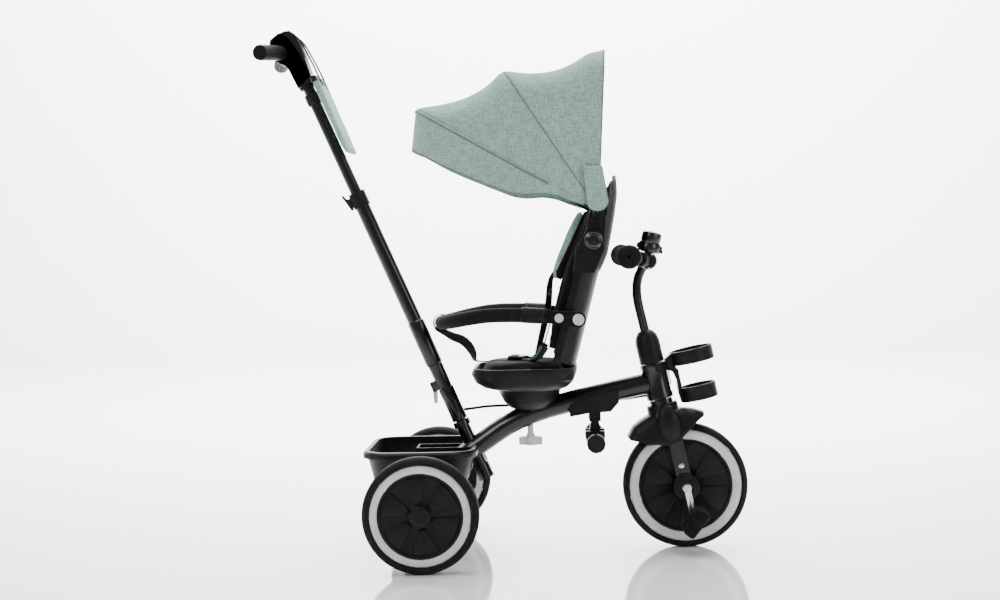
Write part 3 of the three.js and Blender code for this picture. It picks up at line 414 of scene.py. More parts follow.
def spun(profile, steps, closed=True):  # turned about Y; each point is (radius, station)
    bm = bmesh.new()
    row = [bm.verts.new((radius, station, 0)) for radius, station in profile]
    pairs = list(zip(row, row[1:])) + ([(row[-1], row[0])] if closed else [])
    edges = [bm.edges.new(pair) for pair in pairs]
    bmesh.ops.spin(bm, geom=row + edges, cent=(0, 0, 0), axis=(0, 1, 0), angle=2 * math.pi, steps=steps,
                   use_merge=True)
    bmesh.ops.remove_doubles(bm, verts=bm.verts, dist=0.01)
    bmesh.ops.recalc_face_normals(bm, faces=bm.faces)
    return bm


def plate(outline, y0, y1):  # an (x, z) outline given thickness along Y
    bm = bmesh.new()
    face = bm.faces.new([bm.verts.new((x, y0, z)) for x, z in outline])
    grown = bmesh.ops.extrude_face_region(bm, geom=[face])["geom"]
    bmesh.ops.translate(bm, vec=(0, y1 - y0, 0),
                        verts=[v for v in grown if isinstance(v, bmesh.types.BMVert)])
    bmesh.ops.recalc_face_normals(bm, faces=bm.faces)
    return bm


def block(size, centre):
    bm = bmesh.new()
    bmesh.ops.create_cube(bm, size=1, matrix=Matrix.Translation(centre) @ Matrix.Diagonal((*size, 1)))
    return bm


def rounded(bm, width, segments=3, angle=30):
    edges = [e for e in bm.edges if e.is_manifold and e.calc_face_angle() > math.radians(angle)]
    bmesh.ops.bevel(bm, geom=edges, offset=width, affect="EDGES", segments=segments, profile=0.5,
                    material=-1, clamp_overlap=True)
    return bm


def smoothLine(points, steps=6):  # a Catmull-Rom curve through points
    line = [Vector(p) for p in points]
    ends = [line[0] * 2 - line[1]] + line + [line[-1] * 2 - line[-2]]
    fine = []
    for a, b, c, d in zip(ends, ends[1:], ends[2:], ends[3:]):
        for i in range(steps):
            t = i / steps
            fine.append(0.5 * (2 * b + (c - a) * t + (2 * a - 5 * b + 4 * c - d) * t * t
                               + (3 * b - a - 3 * c + d) * t ** 3))
    return fine + [line[-1]]


# A section carried along a line: one face, extruded from station to station.
def swept(line, section, side):
    bm = bmesh.new()
    count = len(line)
    face = None
    last = []
    for i, centre in enumerate(line):
        ahead = (line[min(i + 1, count - 1)] - line[max(i - 1, 0)]).normalized()
        across = (Vector(side) - ahead * ahead.dot(Vector(side))).normalized()
        up = across.cross(ahead)
        places = [centre + across * a + up * b for a, b in section]
        if face is None:
            face = bm.faces.new([bm.verts.new(p) for p in places])
        else:
            grown = bmesh.ops.extrude_face_region(bm, geom=[face])["geom"]
            if i > 1 and face.is_valid:
                bmesh.ops.delete(bm, geom=[face], context="FACES_ONLY")
            face = [g for g in grown if isinstance(g, bmesh.types.BMFace)][0]
            for vert in face.verts:
                nearest = min(range(len(last)), key=lambda k: (last[k] - vert.co).length)
                vert.co = places[nearest]
        last = places
    bmesh.ops.recalc_face_normals(bm, faces=bm.faces)
    return bm


def circle(radius, count=8):
    return [(radius * math.cos(2 * math.pi * i / count), radius * math.sin(2 * math.pi * i / count))
            for i in range(count)]


def band(width, thick):
    return [(-width / 2, -thick / 2), (width / 2, -thick / 2), (width / 2, thick / 2),
            (-width / 2, thick / 2)]


# A sheet drawn as a grid and laid on a surface by a rule that takes (u, v), each from 0 to 1.
def laidSheet(across, down, rule):
    bm = bmesh.new()
    bmesh.ops.create_grid(bm, x_segments=across, y_segments=down, size=0.5)
    for vert in bm.verts:
        vert.co = rule(vert.co.x + 0.5, vert.co.y + 0.5)
    bmesh.ops.remove_doubles(bm, verts=bm.verts, dist=0.05)
    return bm


def flatArea(bm):  # square metres, of a sheet drawn in mm
    return sum(face.calc_area() for face in bm.faces) * mm * mm


# Puffs a closed shape as stuffing would: an even skin, then cloth with pressure
# inside, held to a small travel.
def inflate(piece, voxelMm, travelMm, pressure, shrinkMm):
    bpy.context.view_layer.objects.active = piece
    remesh = piece.modifiers.new("even skin", "REMESH")
    remesh.mode = "VOXEL"
    remesh.voxel_size = voxelMm * mm
    with bpy.context.temp_override(object=piece, active_object=piece):
        bpy.ops.object.modifier_apply(modifier=remesh.name)
    for vert, inward in [(v, v.normal.copy()) for v in piece.data.vertices]:
        vert.co -= inward * shrinkMm * mm
    before = [v.co.copy() for v in piece.data.vertices]
    cloth = piece.modifiers.new("stuffing", "CLOTH")
    cloth.settings.use_pressure = True
    cloth.settings.uniform_pressure_force = pressure
    cloth.settings.effector_weights.gravity = 0
    cloth.settings.quality = 4
    for step in range(1, stuffingFrames + 1):
        bpy.context.scene.frame_set(step)
    graph = bpy.context.evaluated_depsgraph_get()
    puffed = [v.co.copy() for v in piece.evaluated_get(graph).data.vertices]
    piece.modifiers.remove(cloth)
    for vert, start, end in zip(piece.data.vertices, before, puffed):
        step = end - start
        vert.co = start + step * min(1.0, travelMm * mm / max(step.length, 1e-9))
    bpy.context.scene.frame_set(1)
    piece.data.shade_smooth()


# Wheels
wheels = {
    "front": {"radius": 127.0, "ringOuter": 114.0, "ringInner": 95.0, "bore": 7.0, "hubHalf": 22.0,
              "groove": 1.0},
    "rear": {"radius": 112.5, "ringOuter": 97.5, "ringInner": 82.5, "bore": 5.6, "hubHalf": 26.0,
             "groove": 0.0},
    "half": 20.0, "pads": 6, "padRise": 3.0, "padTurn": 21, "rearTrackHalf": 235,
    "rimSteps": 128, "discSteps": 96,
}


def tyreShape(wheel):
    half, radius = wheels["half"], wheel["radius"]
    groove = wheel["groove"]
    tread = [(radius - 0.9, 12), (radius, 8), (radius, 2 + groove), (radius - 1.5 * groove, 1),
             (radius - 1.5 * groove, -1), (radius, -2 - groove), (radius, -8), (radius - 0.9, -12)]
    shoulder = [(radius - 3, half - 4), (radius - 7, half - 1), (radius - 10, half)]
    seat = [(wheel["ringOuter"] + 3, half), (wheel["ringOuter"] + 0.3, half - 3)]
    upper = seat[::-1] + shoulder[::-1] + tread
    lower = [(r, -y) for r, y in shoulder + seat]
    return spun(upper + lower, wheels["rimSteps"])


def ringShape(wheel):
    half = wheels["half"] - 1
    inner, outer = wheel["ringInner"], wheel["ringOuter"]
    middle = (inner + outer) / 2
    side = [(inner, half - 1.6), (inner + 1.2, half - 0.4), (middle, half + 0.4), (outer - 2.5, half - 0.4),
            (outer, half - 4)]
    return spun(side + [(r, -y) for r, y in side[::-1]], wheels["rimSteps"])


# Petal-shaped pad: a round end towards the hub and two sides that spread out to the rim.
def padOutline(inner, outer, endRadius, spread):
    centre = inner + endRadius
    turn = math.radians(spread)
    end = [(centre - endRadius * math.sin(a), endRadius * math.cos(a)) for a in
           (math.radians(spread + (180 - 2 * spread) * i / 10) for i in range(11))]
    reach = math.asin(min(0.9, (endRadius + (outer - centre) * math.tan(turn)) / outer))
    turns = [-reach + 2 * reach * i / 10 for i in range(11)]
    rim = [(outer * math.cos(a), outer * math.sin(a)) for a in turns]
    return end + rim


def discShape(wheel, closed, mirrored):
    rim, bore, hubHalf = wheel["ringInner"] - 0.3, wheel["bore"], wheel["hubHalf"]
    hub = bore + 15
    face = [(rim, 17), (rim - 4, 17), (rim - 7, 14.2), (hub + 7, 12), (hub + 3, 12.4), (hub, 14)]
    outer = [(hub, hubHalf - 2.5), (hub - 0.8, hubHalf - 0.8), (hub - 2.5, hubHalf)]
    end = [(bore, hubHalf)]
    inside = [(bore, -hubHalf), (hub - 1, -hubHalf), (hub, -hubHalf + 1), (hub, -9)]
    innerFace = [(hub + 7, -12), (rim - 7, -14.2), (rim - 4, -17), (rim, -17)]
    if closed:
        end = [(bore + 6, hubHalf), (bore + 5, hubHalf - 1), (0, hubHalf - 1), (0, hubHalf - 5),
               (bore, hubHalf - 5)]
        innerFace = [(rim - 5, -17), (rim, -17)]
    body = spun(inside + innerFace + face + outer + end, wheels["discSteps"])
    pads = []
    for side in ([1] if closed else [1, -1]):
        for i in range(wheels["pads"]):
            outline = padOutline(hub + 3.5, rim - 8.5, 9, wheels["padTurn"])
            pad = rounded(plate(outline, 10, 14 + wheels["padRise"]), 1.8, 3, 60)
            if side < 0:
                moved(pad, mirrorY)
                bmesh.ops.reverse_faces(pad, faces=pad.faces)
            turn = math.radians(360 / wheels["pads"] * i + wheels["padTurn"])
            pads.append(moved(pad, Matrix.Rotation(turn, 4, "Y")))
    whole = joined(body, *pads)
    if mirrored:
        moved(whole, mirrorY)
    return whole


def addWheel(name, wheel, place, closed, mirrored, body, nodes):
    makePiece(name + "_tyre_moulded", tyreShape(wheel), place, "tyre_foam", body, [nodes[0]], crease=50)
    makePiece(name + "_ring_moulded", ringShape(wheel), place, "rim_grey", body, [nodes[1]], crease=50)
    makePiece(name + "_disc_moulded", discShape(wheel, closed, mirrored), place, "plastic_black", body,
              [nodes[2]], crease=40)


addWheel("front", wheels["front"], leaning(*frontHub), False, False, "front_wheel",
         ["front_tyre", "front_rim", "front_disc"])
for side, sign in bothSides:
    addWheel("rear_" + side, wheels["rear"], leaning(*rearHub, 0, sign * wheels["rearTrackHalf"]), True,
             sign < 0, "rear_wheel_" + side, ["rear_tyre_" + side, "rear_rim_" + side, "rear_disc_" + side])
print("wheels made")

# Frame, mouldings and small parts that keep the shape of their CAD nodes
for node in ("main_beam", "head_tube", "rear_axle_tube", "rear_axle_rod", "handle_socket", "fork",
             "handlebar_stem", "handlebar", "handle_lower_tube", "handle_upper_tube", "steering_rod"):
    dress(node, bevel=0.4, crease=50 if node in ("handlebar", "steering_rod") else 38,
          material=surfaces["frame_black"] if node == "steering_rod" else None)
for node in ("basket", "seat_base", "footrest_clamp", "footrest", "cup_holder", "head_cover",
             "handle_clamp", "handle_clamp_lever", "handle_head", "seat_shell", "canopy_bracket_left",
             "canopy_bracket_right", "bell_lever", "seat_knob", "quick_release_lever", "crankshaft",
             "pivot_button_left", "pivot_button_right", "release_button_left", "release_button_right"):
    dress(node, bevel=0.7)

# Handle head: one rounded moulding, drawn in the side view
handleHead = {"half": 24, "round": 3}
headOutline = [(-17, 818), (-19, 864), (-30, 878), (-37, 898), (-33, 916), (-22, 928), (-6, 934), (9, 933),
               (18, 925), (23, 912), (24.5, 895), (22, 868), (18, 830), (17.5, 818)]
headShape = plate([(p.x, p.z) for p in smoothLine([(x, 0, z) for x, z in headOutline], 2)],
                  -handleHead["half"], handleHead["half"])
bmesh.ops.triangulate(headShape, faces=[face for face in headShape.faces if len(face.verts) > 4])
makePiece("handle_head_moulded", headShape, handleFrame, "plastic_black", "handle_upper", ["handle_head"],
          crease=55, bevel=handleHead["round"], segments=3)

# Mudguard: a thin flared shell over the wheel, with a moulded crown round the fork
guard = {
    "stations": [(0.0, 139.0, 152.0, 147.0, 29.0), (0.15, 131.0, 159.5, 113.0, 37.0),
                 (0.45, 112.0, 160.0, 90.0, 39.0),
                 (0.7, 96.0, 158.0, 95.0, 39.0), (0.85, 85.0, 156.0, 118.0, 38.0),
                 (1.0, 75.3, 154.0, 149.0, 29.0)],
    "wall": 2.4, "flare": 3.5, "drop": 2.6, "fullness": 0.8, "flareFrom": 6,
}


def guardRule(u, v):
    stations = guard["stations"]
    k = max(i for i in range(len(stations) - 1) if u >= stations[i][0] - 1e-9)
    share = (u - stations[k][0]) / (stations[k + 1][0] - stations[k][0])
    share = share * share * (3 - 2 * share) * 0.5 + share * 0.5
    angle, crest, hem, half = [a + (b - a) * share for a, b in zip(stations[k][1:], stations[k + 1][1:])]
    side = 2 * v - 1
    r = crest - (crest - hem) * abs(side) ** guard["drop"]
    y = half * math.sin(math.pi / 2 * abs(side) ** guard["fullness"])
    y += guard["flare"] * abs(side) ** guard["flareFrom"]
    angle = math.radians(angle)
    return Vector((r * math.cos(angle), math.copysign(y, side), r * math.sin(angle)))


makePiece("front_fender_moulded", laidSheet(40, 28, guardRule), leaning(*frontHub), "plastic_black",
          "steering", ["front_fender"], crease=60, thick=guard["wall"])
crownProfile = [(0, 128), (33, 128), (35, 131), (34, 146), (32, 158), (31.5, 171), (30.5, 172), (0, 172)]
crownParts = [moved(spun(crownProfile, 64, closed=False), quarterTurn)]
for sign in (1, -1):
    egg = bmesh.new()
    bmesh.ops.create_uvsphere(egg, u_segments=48, v_segments=28, radius=1)
    eggPlace = Matrix.Translation((4, sign * 35, 132)) @ Matrix.Diagonal((25, 15, 40, 1))
    crownParts.append(moved(egg, eggPlace))
makePiece("front_fender_crown", joined(*crownParts), steeringFrame, "plastic_black", "steering", crease=45)
dress("bumper_bar", bevel=0.8)
dress("backrest_shell", bevel=4.5, segments=4)
dress("handle_grip_bar", bevel=1.5)
for node in ("canopy_hoop_rear", "canopy_hoop_middle", "canopy_hoop_front"):
    dress(node, bevel=0.8, crease=65)
print("frame dressed")

# Grips: ribbed rubber with a wide end
grips = {"bore": 10.0, "radius": 15.2, "flange": 23.3, "length": 92.0, "ribs": 13, "ribPitch": 5.0,
         "ribDepth": 0.9}


def gripShape():
    ribs = []
    for i in range(grips["ribs"]):
        station = -84 + i * grips["ribPitch"]
        ribs += [(grips["radius"] - grips["ribDepth"], station), (grips["radius"] + 0.3, station + 1),
                 (grips["radius"] + 0.3, station + 3.4),
                 (grips["radius"] - grips["ribDepth"], station + 4.4)]
    flange = [(grips["radius"], -15), (grips["flange"] - 3, -8), (grips["flange"], -4),
              (grips["flange"], 2),
              (grips["flange"] - 2, 6), (grips["flange"] - 6, 8.8), (12, 10), (9, 9.2), (5, 9.2), (4, 10),
              (3, 10), (3, 5), (grips["bore"], 5)]
    return spun([(grips["bore"], -grips["length"]), (grips["radius"] - 1, -grips["length"]),
                 (grips["radius"] - 0.4, -88)] + ribs + flange, 48)


for side, sign in bothSides:
    end = Vector((-5, sign * 190, 483))
    direction = end - Vector((8, sign * 110, 477))
    makePiece("grip_moulded_" + side, gripShape(), steeringFrame @ along(end, direction), "grip_rubber",
              "steering", ["grip_" + side], crease=35)

# Soft sleeve in the canopy's colour over the bar clamp, and a pad on the bar on each side of it
barClamp = Vector((38, 0, 463))
barSleeve = spun([(16, -19), (17.6, -18), (18.3, -14), (18.6, 0), (18.3, 14), (17.6, 18), (16, 19)], 40)
makePiece("bar_sleeve", barSleeve, steeringFrame @ Matrix.Translation(barClamp), "canopy_fabric",
          "steering")
for side, sign in bothSides:
    bar = Vector((-30, sign * 110, 14))
    pad = spun([(9.8, -21), (13, -21), (15, -19), (15.6, -8), (15.6, 8), (15, 19), (13, 21), (9.8, 21)], 48)
    makePiece("bar_pad_" + side, pad, steeringFrame @ along(barClamp + bar * 0.47, bar), "grip_rubber",
              "steering", crease=35)

# Bell: a cup with a lid on a banded base, clipped round the bar
bellProfile = [(0, 17), (19, 17), (22, 18.5), (22.6, 22), (22.6, 34), (21, 37), (19.6, 38.6), (20.2, 41),
               (20.2, 53), (19, 57), (15.5, 59.2), (8, 60), (0, 60.2)]
bellCup = moved(spun(bellProfile, 72, closed=False), quarterTurn)
bellLugs = [rounded(block((7, 11, 11), (x, 0, 28)), 2, 3) for x in (-22.6, 22.6)]
bellClip = [rounded(block((15, 16, 12), (0, 0, 14)), 2, 3),
            spun([(9.9, -8), (13.4, -8), (13.4, 8), (9.9, 8)], 40)]
makePiece("bell_moulded", joined(bellCup, *bellLugs, *bellClip), bellFrame, "bell_black", "steering",
          ["bell"], crease=32)

# Pedals: a rounded slab with ridged treads on both faces
pedals = {
    "length": 60.0, "width": 64.0, "thick": 26.0, "ridges": 6, "turn": -40.0, "out": 56 + 4.6 + 33,
    "crank": 62, "round": 7, "tread": 4, "treadHeight": 2.4, "margin": 18,
}


def pedalShape():
    slab = block((pedals["length"], pedals["width"], pedals["thick"]), (0, 0, 0))
    parts = [rounded(slab, pedals["round"], 5)]
    for side in (1, -1):
        for i in range(pedals["ridges"]):
            x = (i / (pedals["ridges"] - 1) - 0.5) * (pedals["length"] - 20)
            size = (pedals["tread"], pedals["width"] - pedals["margin"], pedals["treadHeight"])
            tread = block(size, (x, 0, side * pedals["thick"] / 2))
            parts.append(rounded(tread, 0.9, 2))
    caps = [moved(spun([(0, 30), (9, 30), (9, 33), (7, 34.6), (0, 34.8)], 40, closed=False),
                  Matrix.Rotation(turn, 4, "Z"))
            for turn in (0, math.pi)]
    return joined(*parts, *caps)


for side, sign in bothSides:
    place = crankFrame @ Matrix.Translation((0, sign * pedals["out"], sign * pedals["crank"])) \
        @ Matrix.Rotation(math.radians(pedals["turn"]), 4, "Y")
    makePiece("pedal_moulded_" + side, pedalShape(), place, "grip_rubber", "pedal_" + side,
              ["pedal_" + side], crease=35)

# Canopy: one cloth over three hoops, cut in panels, with a valance in front
canopy = {
    "hoops": [(1.0, 314.0, 131.5), (33.0, 331.0, 136.2), (59.5, 410.0, 140.9)],  # lean, length, half width
    "stand": 3.4, "corner": 62.0, "start": 20.0, "sag": 19.0, "rearHem": -3.2, "valance": 386.0,
    "valanceStart": 32.0, "crown": 3, "sagReach": 260, "crease": 0.9, "creaseReach": 90, "ripple": 1.1,
    "lowEdge": [(32, 66), (59, 68.5), (83, 68), (110, 70.2), (144, 75.8), (174, 77), (210, 75.4), (254, 74),
                (328, 72.2), (380, 70.6)],
}


def hoopPoint(lean, length, half, start, s):  # s runs from the left foot over the top to the right foot
    corner = canopy["corner"]
    rise, turn, top = length - corner - start, corner * math.pi / 2, 2 * (half - corner)
    whole = 2 * rise + 2 * turn + top
    walked = min(s, 1 - s) * whole
    if walked < rise:
        y, r = half, start + walked
    elif walked < rise + turn:
        angle = (walked - rise) / corner
        y, r = half - corner + corner * math.cos(angle), length - corner + corner * math.sin(angle)
    else:
        inward = half - corner - (walked - rise - turn)
        y, r = inward, length + canopy["crown"] * (1 - (inward / (half - corner)) ** 2)
    if s > 0.5:
        y = -y
    lean = math.radians(-lean)
    return Vector((r * math.sin(lean), y, r * math.cos(lean)))


def panelRule(first, second, sag, flat=(0.05, 0.05)):
    def rule(u, v):
        stand = canopy["stand"]
        a = hoopPoint(first[0], first[1] + stand, first[2] + stand, canopy["start"], u)
        b = hoopPoint(second[0], second[1] + stand, second[2] + stand, canopy["start"], u)
        p = a.lerp(b, v)
        v = min(1.0, max(0.0, (v - flat[0]) / (1 - flat[0] - flat[1])))  # flat over the hoops
        middle = Vector((p.x, p.y * 0.35, p.z))
        high = min(1.0, middle.length / canopy["sagReach"]) ** 2
        fade = math.exp(-middle.length / canopy["creaseReach"])
        crease = canopy["crease"] * math.sin(9 * math.pi * v + 3 * u) * fade
        ripple = canopy["ripple"] * noise.noise(Vector((u * 9, v * 4, first[0])))
        dip = sag * 4 * v * (1 - v) * high + crease + ripple * high * 4 * v * (1 - v)
        return p - middle.normalized() * dip
    return rule


def valanceLean(r):
    table = canopy["lowEdge"]
    for (r0, lean0), (r1, lean1) in zip(table, table[1:]):
        if r <= r1:
            return lean0 + (lean1 - lean0) * max(0.0, (r - r0) / (r1 - r0))
    return table[-1][1]


def valanceRule(u, v):
    lean, length, half = canopy["hoops"][2]
    stand, start = canopy["stand"], canopy["valanceStart"]
    a = hoopPoint(lean, length + stand + 0.6, half + stand + 0.6, start, u)
    level = hoopPoint(0, canopy["valance"] + stand, half + stand + 0.6, start, u)
    low = math.radians(valanceLean(level.z))
    b = Vector((-level.z * math.sin(low), level.y, level.z * math.cos(low)))
    wave = 1.2 * math.sin(7 * math.pi * u) * v * (1 if 0.3 < u < 0.7 else 0.3)
    return a.lerp(b, v) + Vector((wave * 0.3, 0, wave * 0.5))


def clothPanel(name, rule, across, down, nodes, thickness=1.3):
    bm = laidSheet(across, down, rule)
    area = flatArea(bm)
    width = sum((rule((i + 1) / 60, 0.5) - rule(i / 60, 0.5)).length for i in range(60)) * mm
    piece = makePiece(name, bm, canopyFrame, "canopy_fabric", None, nodes, crease=70, thick=thickness)
    return piece, area, width


def betweenHoops(*hoops):  # where a cloth's bend starts and ends, below the tops of its two hoops
    return [canopyFrame @ hoopPoint(lean, length * 0.62, half, 10, 0.5) for lean, length, half in hoops]


rear, middle, front = canopy["hoops"]
hemHoop = (canopy["rearHem"], rear[1] + 3, rear[2])
rearRule = panelRule(hemHoop, middle, canopy["sag"], (0.16, 0.04))
frontRule = panelRule(middle, front, canopy["sag"])
rearCloth, area, width = clothPanel("canopy_cloth_rear", rearRule, 96, 22, ["canopy_panel_rear"])
start, end = betweenHoops(rear, middle)
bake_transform(rearCloth)
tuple(start)
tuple(end)
frontCloth, area, width = clothPanel("canopy_cloth_front", frontRule, 96, 22, ["canopy_panel_front"])
start, end = betweenHoops(middle, front)
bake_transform(frontCloth)
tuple(start)
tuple(end)
valance, area, width = clothPanel("canopy_cloth_valance", valanceRule, 96, 10, ["canopy_visor"], 1.5)
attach(valance, "canopy_front")


def seamLine(rule, v, lift, u0=0.0, u1=1.0, count=90):
    line = []
    for i in range(count + 1):
        p = rule(u0 + (u1 - u0) * i / count, v)
        line.append(p + Vector((p.x, p.y * 0.6, p.z)).normalized() * lift)
    return line


def addSeam(name, rule, v, body, radius, lift, u0=0.0, u1=1.0):
    bm = swept(seamLine(rule, v, lift, u0, u1), circle(radius, 6), (0.94, 0.11, 0.31))
    makePiece(name, bm, canopyFrame, "canopy_fabric", body, material=sageBinding, crease=70)


addSeam("canopy_hem_rear", rearRule, 0.0, "seat", 1.3, 0.2)
addSeam("canopy_seam_middle", frontRule, 0.0, "canopy_middle", 1.2, 0.6)
addSeam("canopy_piping_front", valanceRule, 0.06, "canopy_front", 2.2, 1.0, 0.08, 0.92)
addSeam("canopy_stitch_front", frontRule, 0.88, "canopy_front", 0.5, 0.5)
addSeam("valance_hem", valanceRule, 1.0, "canopy_front", 1.2, 0.0)

# Rounded ends of the cloth, which lie over the brackets
lobes = {"top": 774.0, "turn": 707.0, "radius": 21.0, "middle": 350.0, "inner": 145.8, "outer": 146.6,
         "rearTop": 322, "rearRun": 7, "frontTop": 359.6, "frontRun": 11.4}


def lobeRule(sign):
    def rule(u, v):
        z = lobes["top"] + (lobes["turn"] - lobes["radius"] - lobes["top"]) * v
        low = min(1.0, (lobes["top"] - z) / (lobes["top"] - lobes["turn"]))
        if z > lobes["turn"]:
            left = lobes["rearTop"] + lobes["rearRun"] * low
            right = lobes["frontTop"] + lobes["frontRun"] * low
        else:
            half = math.sqrt(max(0.0, lobes["radius"] ** 2 - (lobes["turn"] - z) ** 2))
            left, right = lobes["middle"] - half, lobes["middle"] + half
        y = lobes["inner"] + (lobes["outer"] - lobes["inner"]) * low * low * (3 - 2 * low)
        return Vector((left + (right - left) * u, sign * y, z))
    return rule


for side, sign in bothSides:
    rule = lobeRule(sign)
    bm = laidSheet(14, 24, rule)
    lobeArea = flatArea(bm)
    lobe = makePiece("canopy_lobe_" + side, bm, upright, "canopy_fabric", "seat", crease=50, thick=1.4)
    edge = [rule(0, i / 30) for i in range(0, 31)] + [rule(1, i / 30) for i in range(29, -1, -1)]
    makePiece("canopy_lobe_binding_" + side, swept(edge, circle(1.0, 6), (0, 1, 0)), upright,
              "canopy_fabric", "seat", material=sageBinding, crease=70)
print("canopy made")


# Padded pieces: each starts from the space its CAD solid holds, a little smaller, and is puffed
pads = {
    "seat": {"voxel": 5.0, "shrink": 3.0, "travel": 6.0, "pressure": 4.0, "fill": 0.7},
    "back": {"voxel": 5.5, "shrink": 2.5, "travel": 6.0, "pressure": 4.0, "fill": 0.6},
    "shoulder": {"voxel": 3.5, "shrink": 2.0, "travel": 5.0, "pressure": 4.0, "fill": 0.5},
    "bag": {"voxel": 4.0, "shrink": 1.6, "travel": 3.5, "pressure": 2.0, "fill": 0.2},
}
seatPad = {"level": 349.4, "flatter": 0.74}
liner = {"cutBack": 15, "from": 190, "top": 322}
shoulderPad = {"forward": 6, "from": 215, "top": 318}
bag = {"front": 20.4, "solidFront": 18.2, "thinner": 0.42, "narrower": 0.72, "foot": 664, "footDepth": 13}
shoulderBacking = (8.5, 0, 3)  # how far the backing lies behind its pad


def padFrom(node, name, pad, shape=None, place=upright):
    bm = mergedNode(node)
    if shape:
        back = place.inverted()
        bmesh.ops.subdivide_edges(bm, edges=[edge for edge in bm.edges if edge.calc_length() > 40 * mm],
                                  cuts=6, use_grid_fill=True)
        for vert in bm.verts:
            vert.co = place @ shape(back @ vert.co)
    piece = makePiece(name, bm, Matrix.Identity(4), slotOf[node], bodyOf[node], [node], crease=60)
    inflate(piece, pad["voxel"], pad["travel"], pad["pressure"], pad["shrink"])
    finer = piece.modifiers.new("finer", "SUBSURF")
    finer.levels = finer.render_levels = 1
    return piece


def easedStep(value, low, high):
    t = min(1.0, max(0.0, (value - low) / (high - low)))
    return t * t * (3 - 2 * t)


def flatterSeat(p):
    return Vector((p.x, p.y, seatPad["level"] + (p.z - seatPad["level"]) * seatPad["flatter"]))


def cutBackLiner(p):
    front = easedStep(-p.x, 20, 70) * easedStep(abs(p.y), 60, 90)
    return Vector((p.x + liner["cutBack"] * front * easedStep(p.z, liner["from"], liner["top"]), p.y, p.z))


def forwardPad(p):
    rise = easedStep(p.z, shoulderPad["from"], shoulderPad["top"])
    return Vector((p.x - shoulderPad["forward"] * rise, p.y, p.z))


def flatBag(p):
    foot = 1 + 0.9 * easedStep(bag["foot"] - p.z, 0, bag["footDepth"])
    thin = (p.x - bag["solidFront"]) * bag["thinner"] * foot
    return Vector((bag["front"] + thin, p.y * bag["narrower"], p.z))


padFrom("seat_cushion", "seat_pad", pads["seat"], flatterSeat)
padFrom("backrest_cushion", "backrest_liner", pads["back"], cutBackLiner, backFrame)
padFrom("shoulder_pad_left", "shoulder_pad_sewn_left", pads["shoulder"], forwardPad, backFrame)
padFrom("shoulder_pad_right", "shoulder_pad_sewn_right", pads["shoulder"], forwardPad, backFrame)
for side in ("left", "right"):
    backing = backFrame @ Matrix.Translation(shoulderBacking) @ backFrame.inverted()
    makePiece("shoulder_pad_backing_" + side, mergedNode("shoulder_pad_" + side), backing, "liner_fabric",
              "seat", crease=50, bevel=2.5)
padFrom("handle_bag", "bag_pouch", pads["bag"], flatBag, handleFrame)
print("padding made")

# Harness webbing, buckle and the strap between the legs
harness = {"strap": 19.0, "hipPad": 24, "hipPadThick": 3.4, "wrap": 16.4}


# Webbing laid along a line: its width starts along the Y axis and turns about the line by the angles
# in turns.
def addStrap(name, points, width, place, body, material=blackWebbing, slotName="liner_fabric", thick=1.7,
             turns=(0, 0)):
    line = smoothLine(points, 5)
    bm = bmesh.new()
    rows = []
    for i, here in enumerate(line):
        run = (line[min(i + 1, len(line) - 1)] - line[max(i - 1, 0)]).normalized()
        share = i / (len(line) - 1) * (len(turns) - 1)
        k = min(int(share), len(turns) - 2)
        turn = math.radians(turns[k] + (turns[k + 1] - turns[k]) * (share - k))
        flat = Vector((0, 1, 0)) - run * run.y
        flat = (flat if flat.length > 0.2 else Vector((0, 0, 1))).normalized()
        out = Matrix.Rotation(turn, 3, run) @ flat * width / 2
        rows.append([bm.verts.new(here + out * k) for k in (-1, -0.5, 0, 0.5, 1)])
    for first, second in zip(rows, rows[1:]):
        for i in range(4):
            bm.faces.new((first[i], first[i + 1], second[i + 1], second[i]))
    return makePiece(name, bm, place, slotName, body, material=material, crease=60, thick=thick)


for side, sign in bothSides:
    addStrap("harness_shoulder_" + side,
             [(262, sign * 44, 566), (254, sign * 44, 545), (249, sign * 46, 497),
              (239, sign * 50, 455), (226, sign * 54, 405), (219, sign * 52, 390)],
             harness["strap"], upright, "seat", turns=(15, 35, 45, 30, 10))
    addStrap("harness_waist_" + side,
             [(256, sign * 74, 476), (250, sign * 70, 455), (236, sign * 62, 410), (226, sign * 54, 394),
              (212, sign * 34, 389), (206, sign * 20, 390)],
             harness["strap"], upright, "seat")
    addStrap("hip_pad_" + side,
             [(240, sign * 62, 418), (229, sign * 58, 399), (215, sign * 46, 391), (205, sign * 32, 391)],
             harness["hipPad"], upright, "seat", sageBinding, "canopy_fabric", thick=harness["hipPadThick"],
             turns=(45, 20, 0))
    adjuster = joined(rounded(block((4.5, 27, 15), (0, 0, 0)), 1.4, 2),
                      rounded(block((6.5, 22, 3), (0, 0, 4)), 1, 2),
                      rounded(block((6.5, 22, 3), (0, 0, -4)), 1, 2))
    makePiece("strap_adjuster_" + side, adjuster, leaning(253, 527, 12, sign * 45), "bell_black", "seat",
              crease=30)
buckle = joined(rounded(block((44, 36, 9), (0, 0, 0)), 3.2, 3),
                rounded(block((14, 46, 7), (6, 0, 0)), 2.6, 3),
                rounded(block((18, 20, 3), (-6, 0, 5)), 1.2, 2))
makePiece("harness_buckle", buckle, leaning(186, 393.5), "bell_black", "seat", crease=30)
barWrap = [(30 + harness["wrap"] * math.cos(a), 0, 468 + harness["wrap"] * math.sin(a)) for a in
           (math.radians(-60 + 300 * i / 14) for i in range(15))]
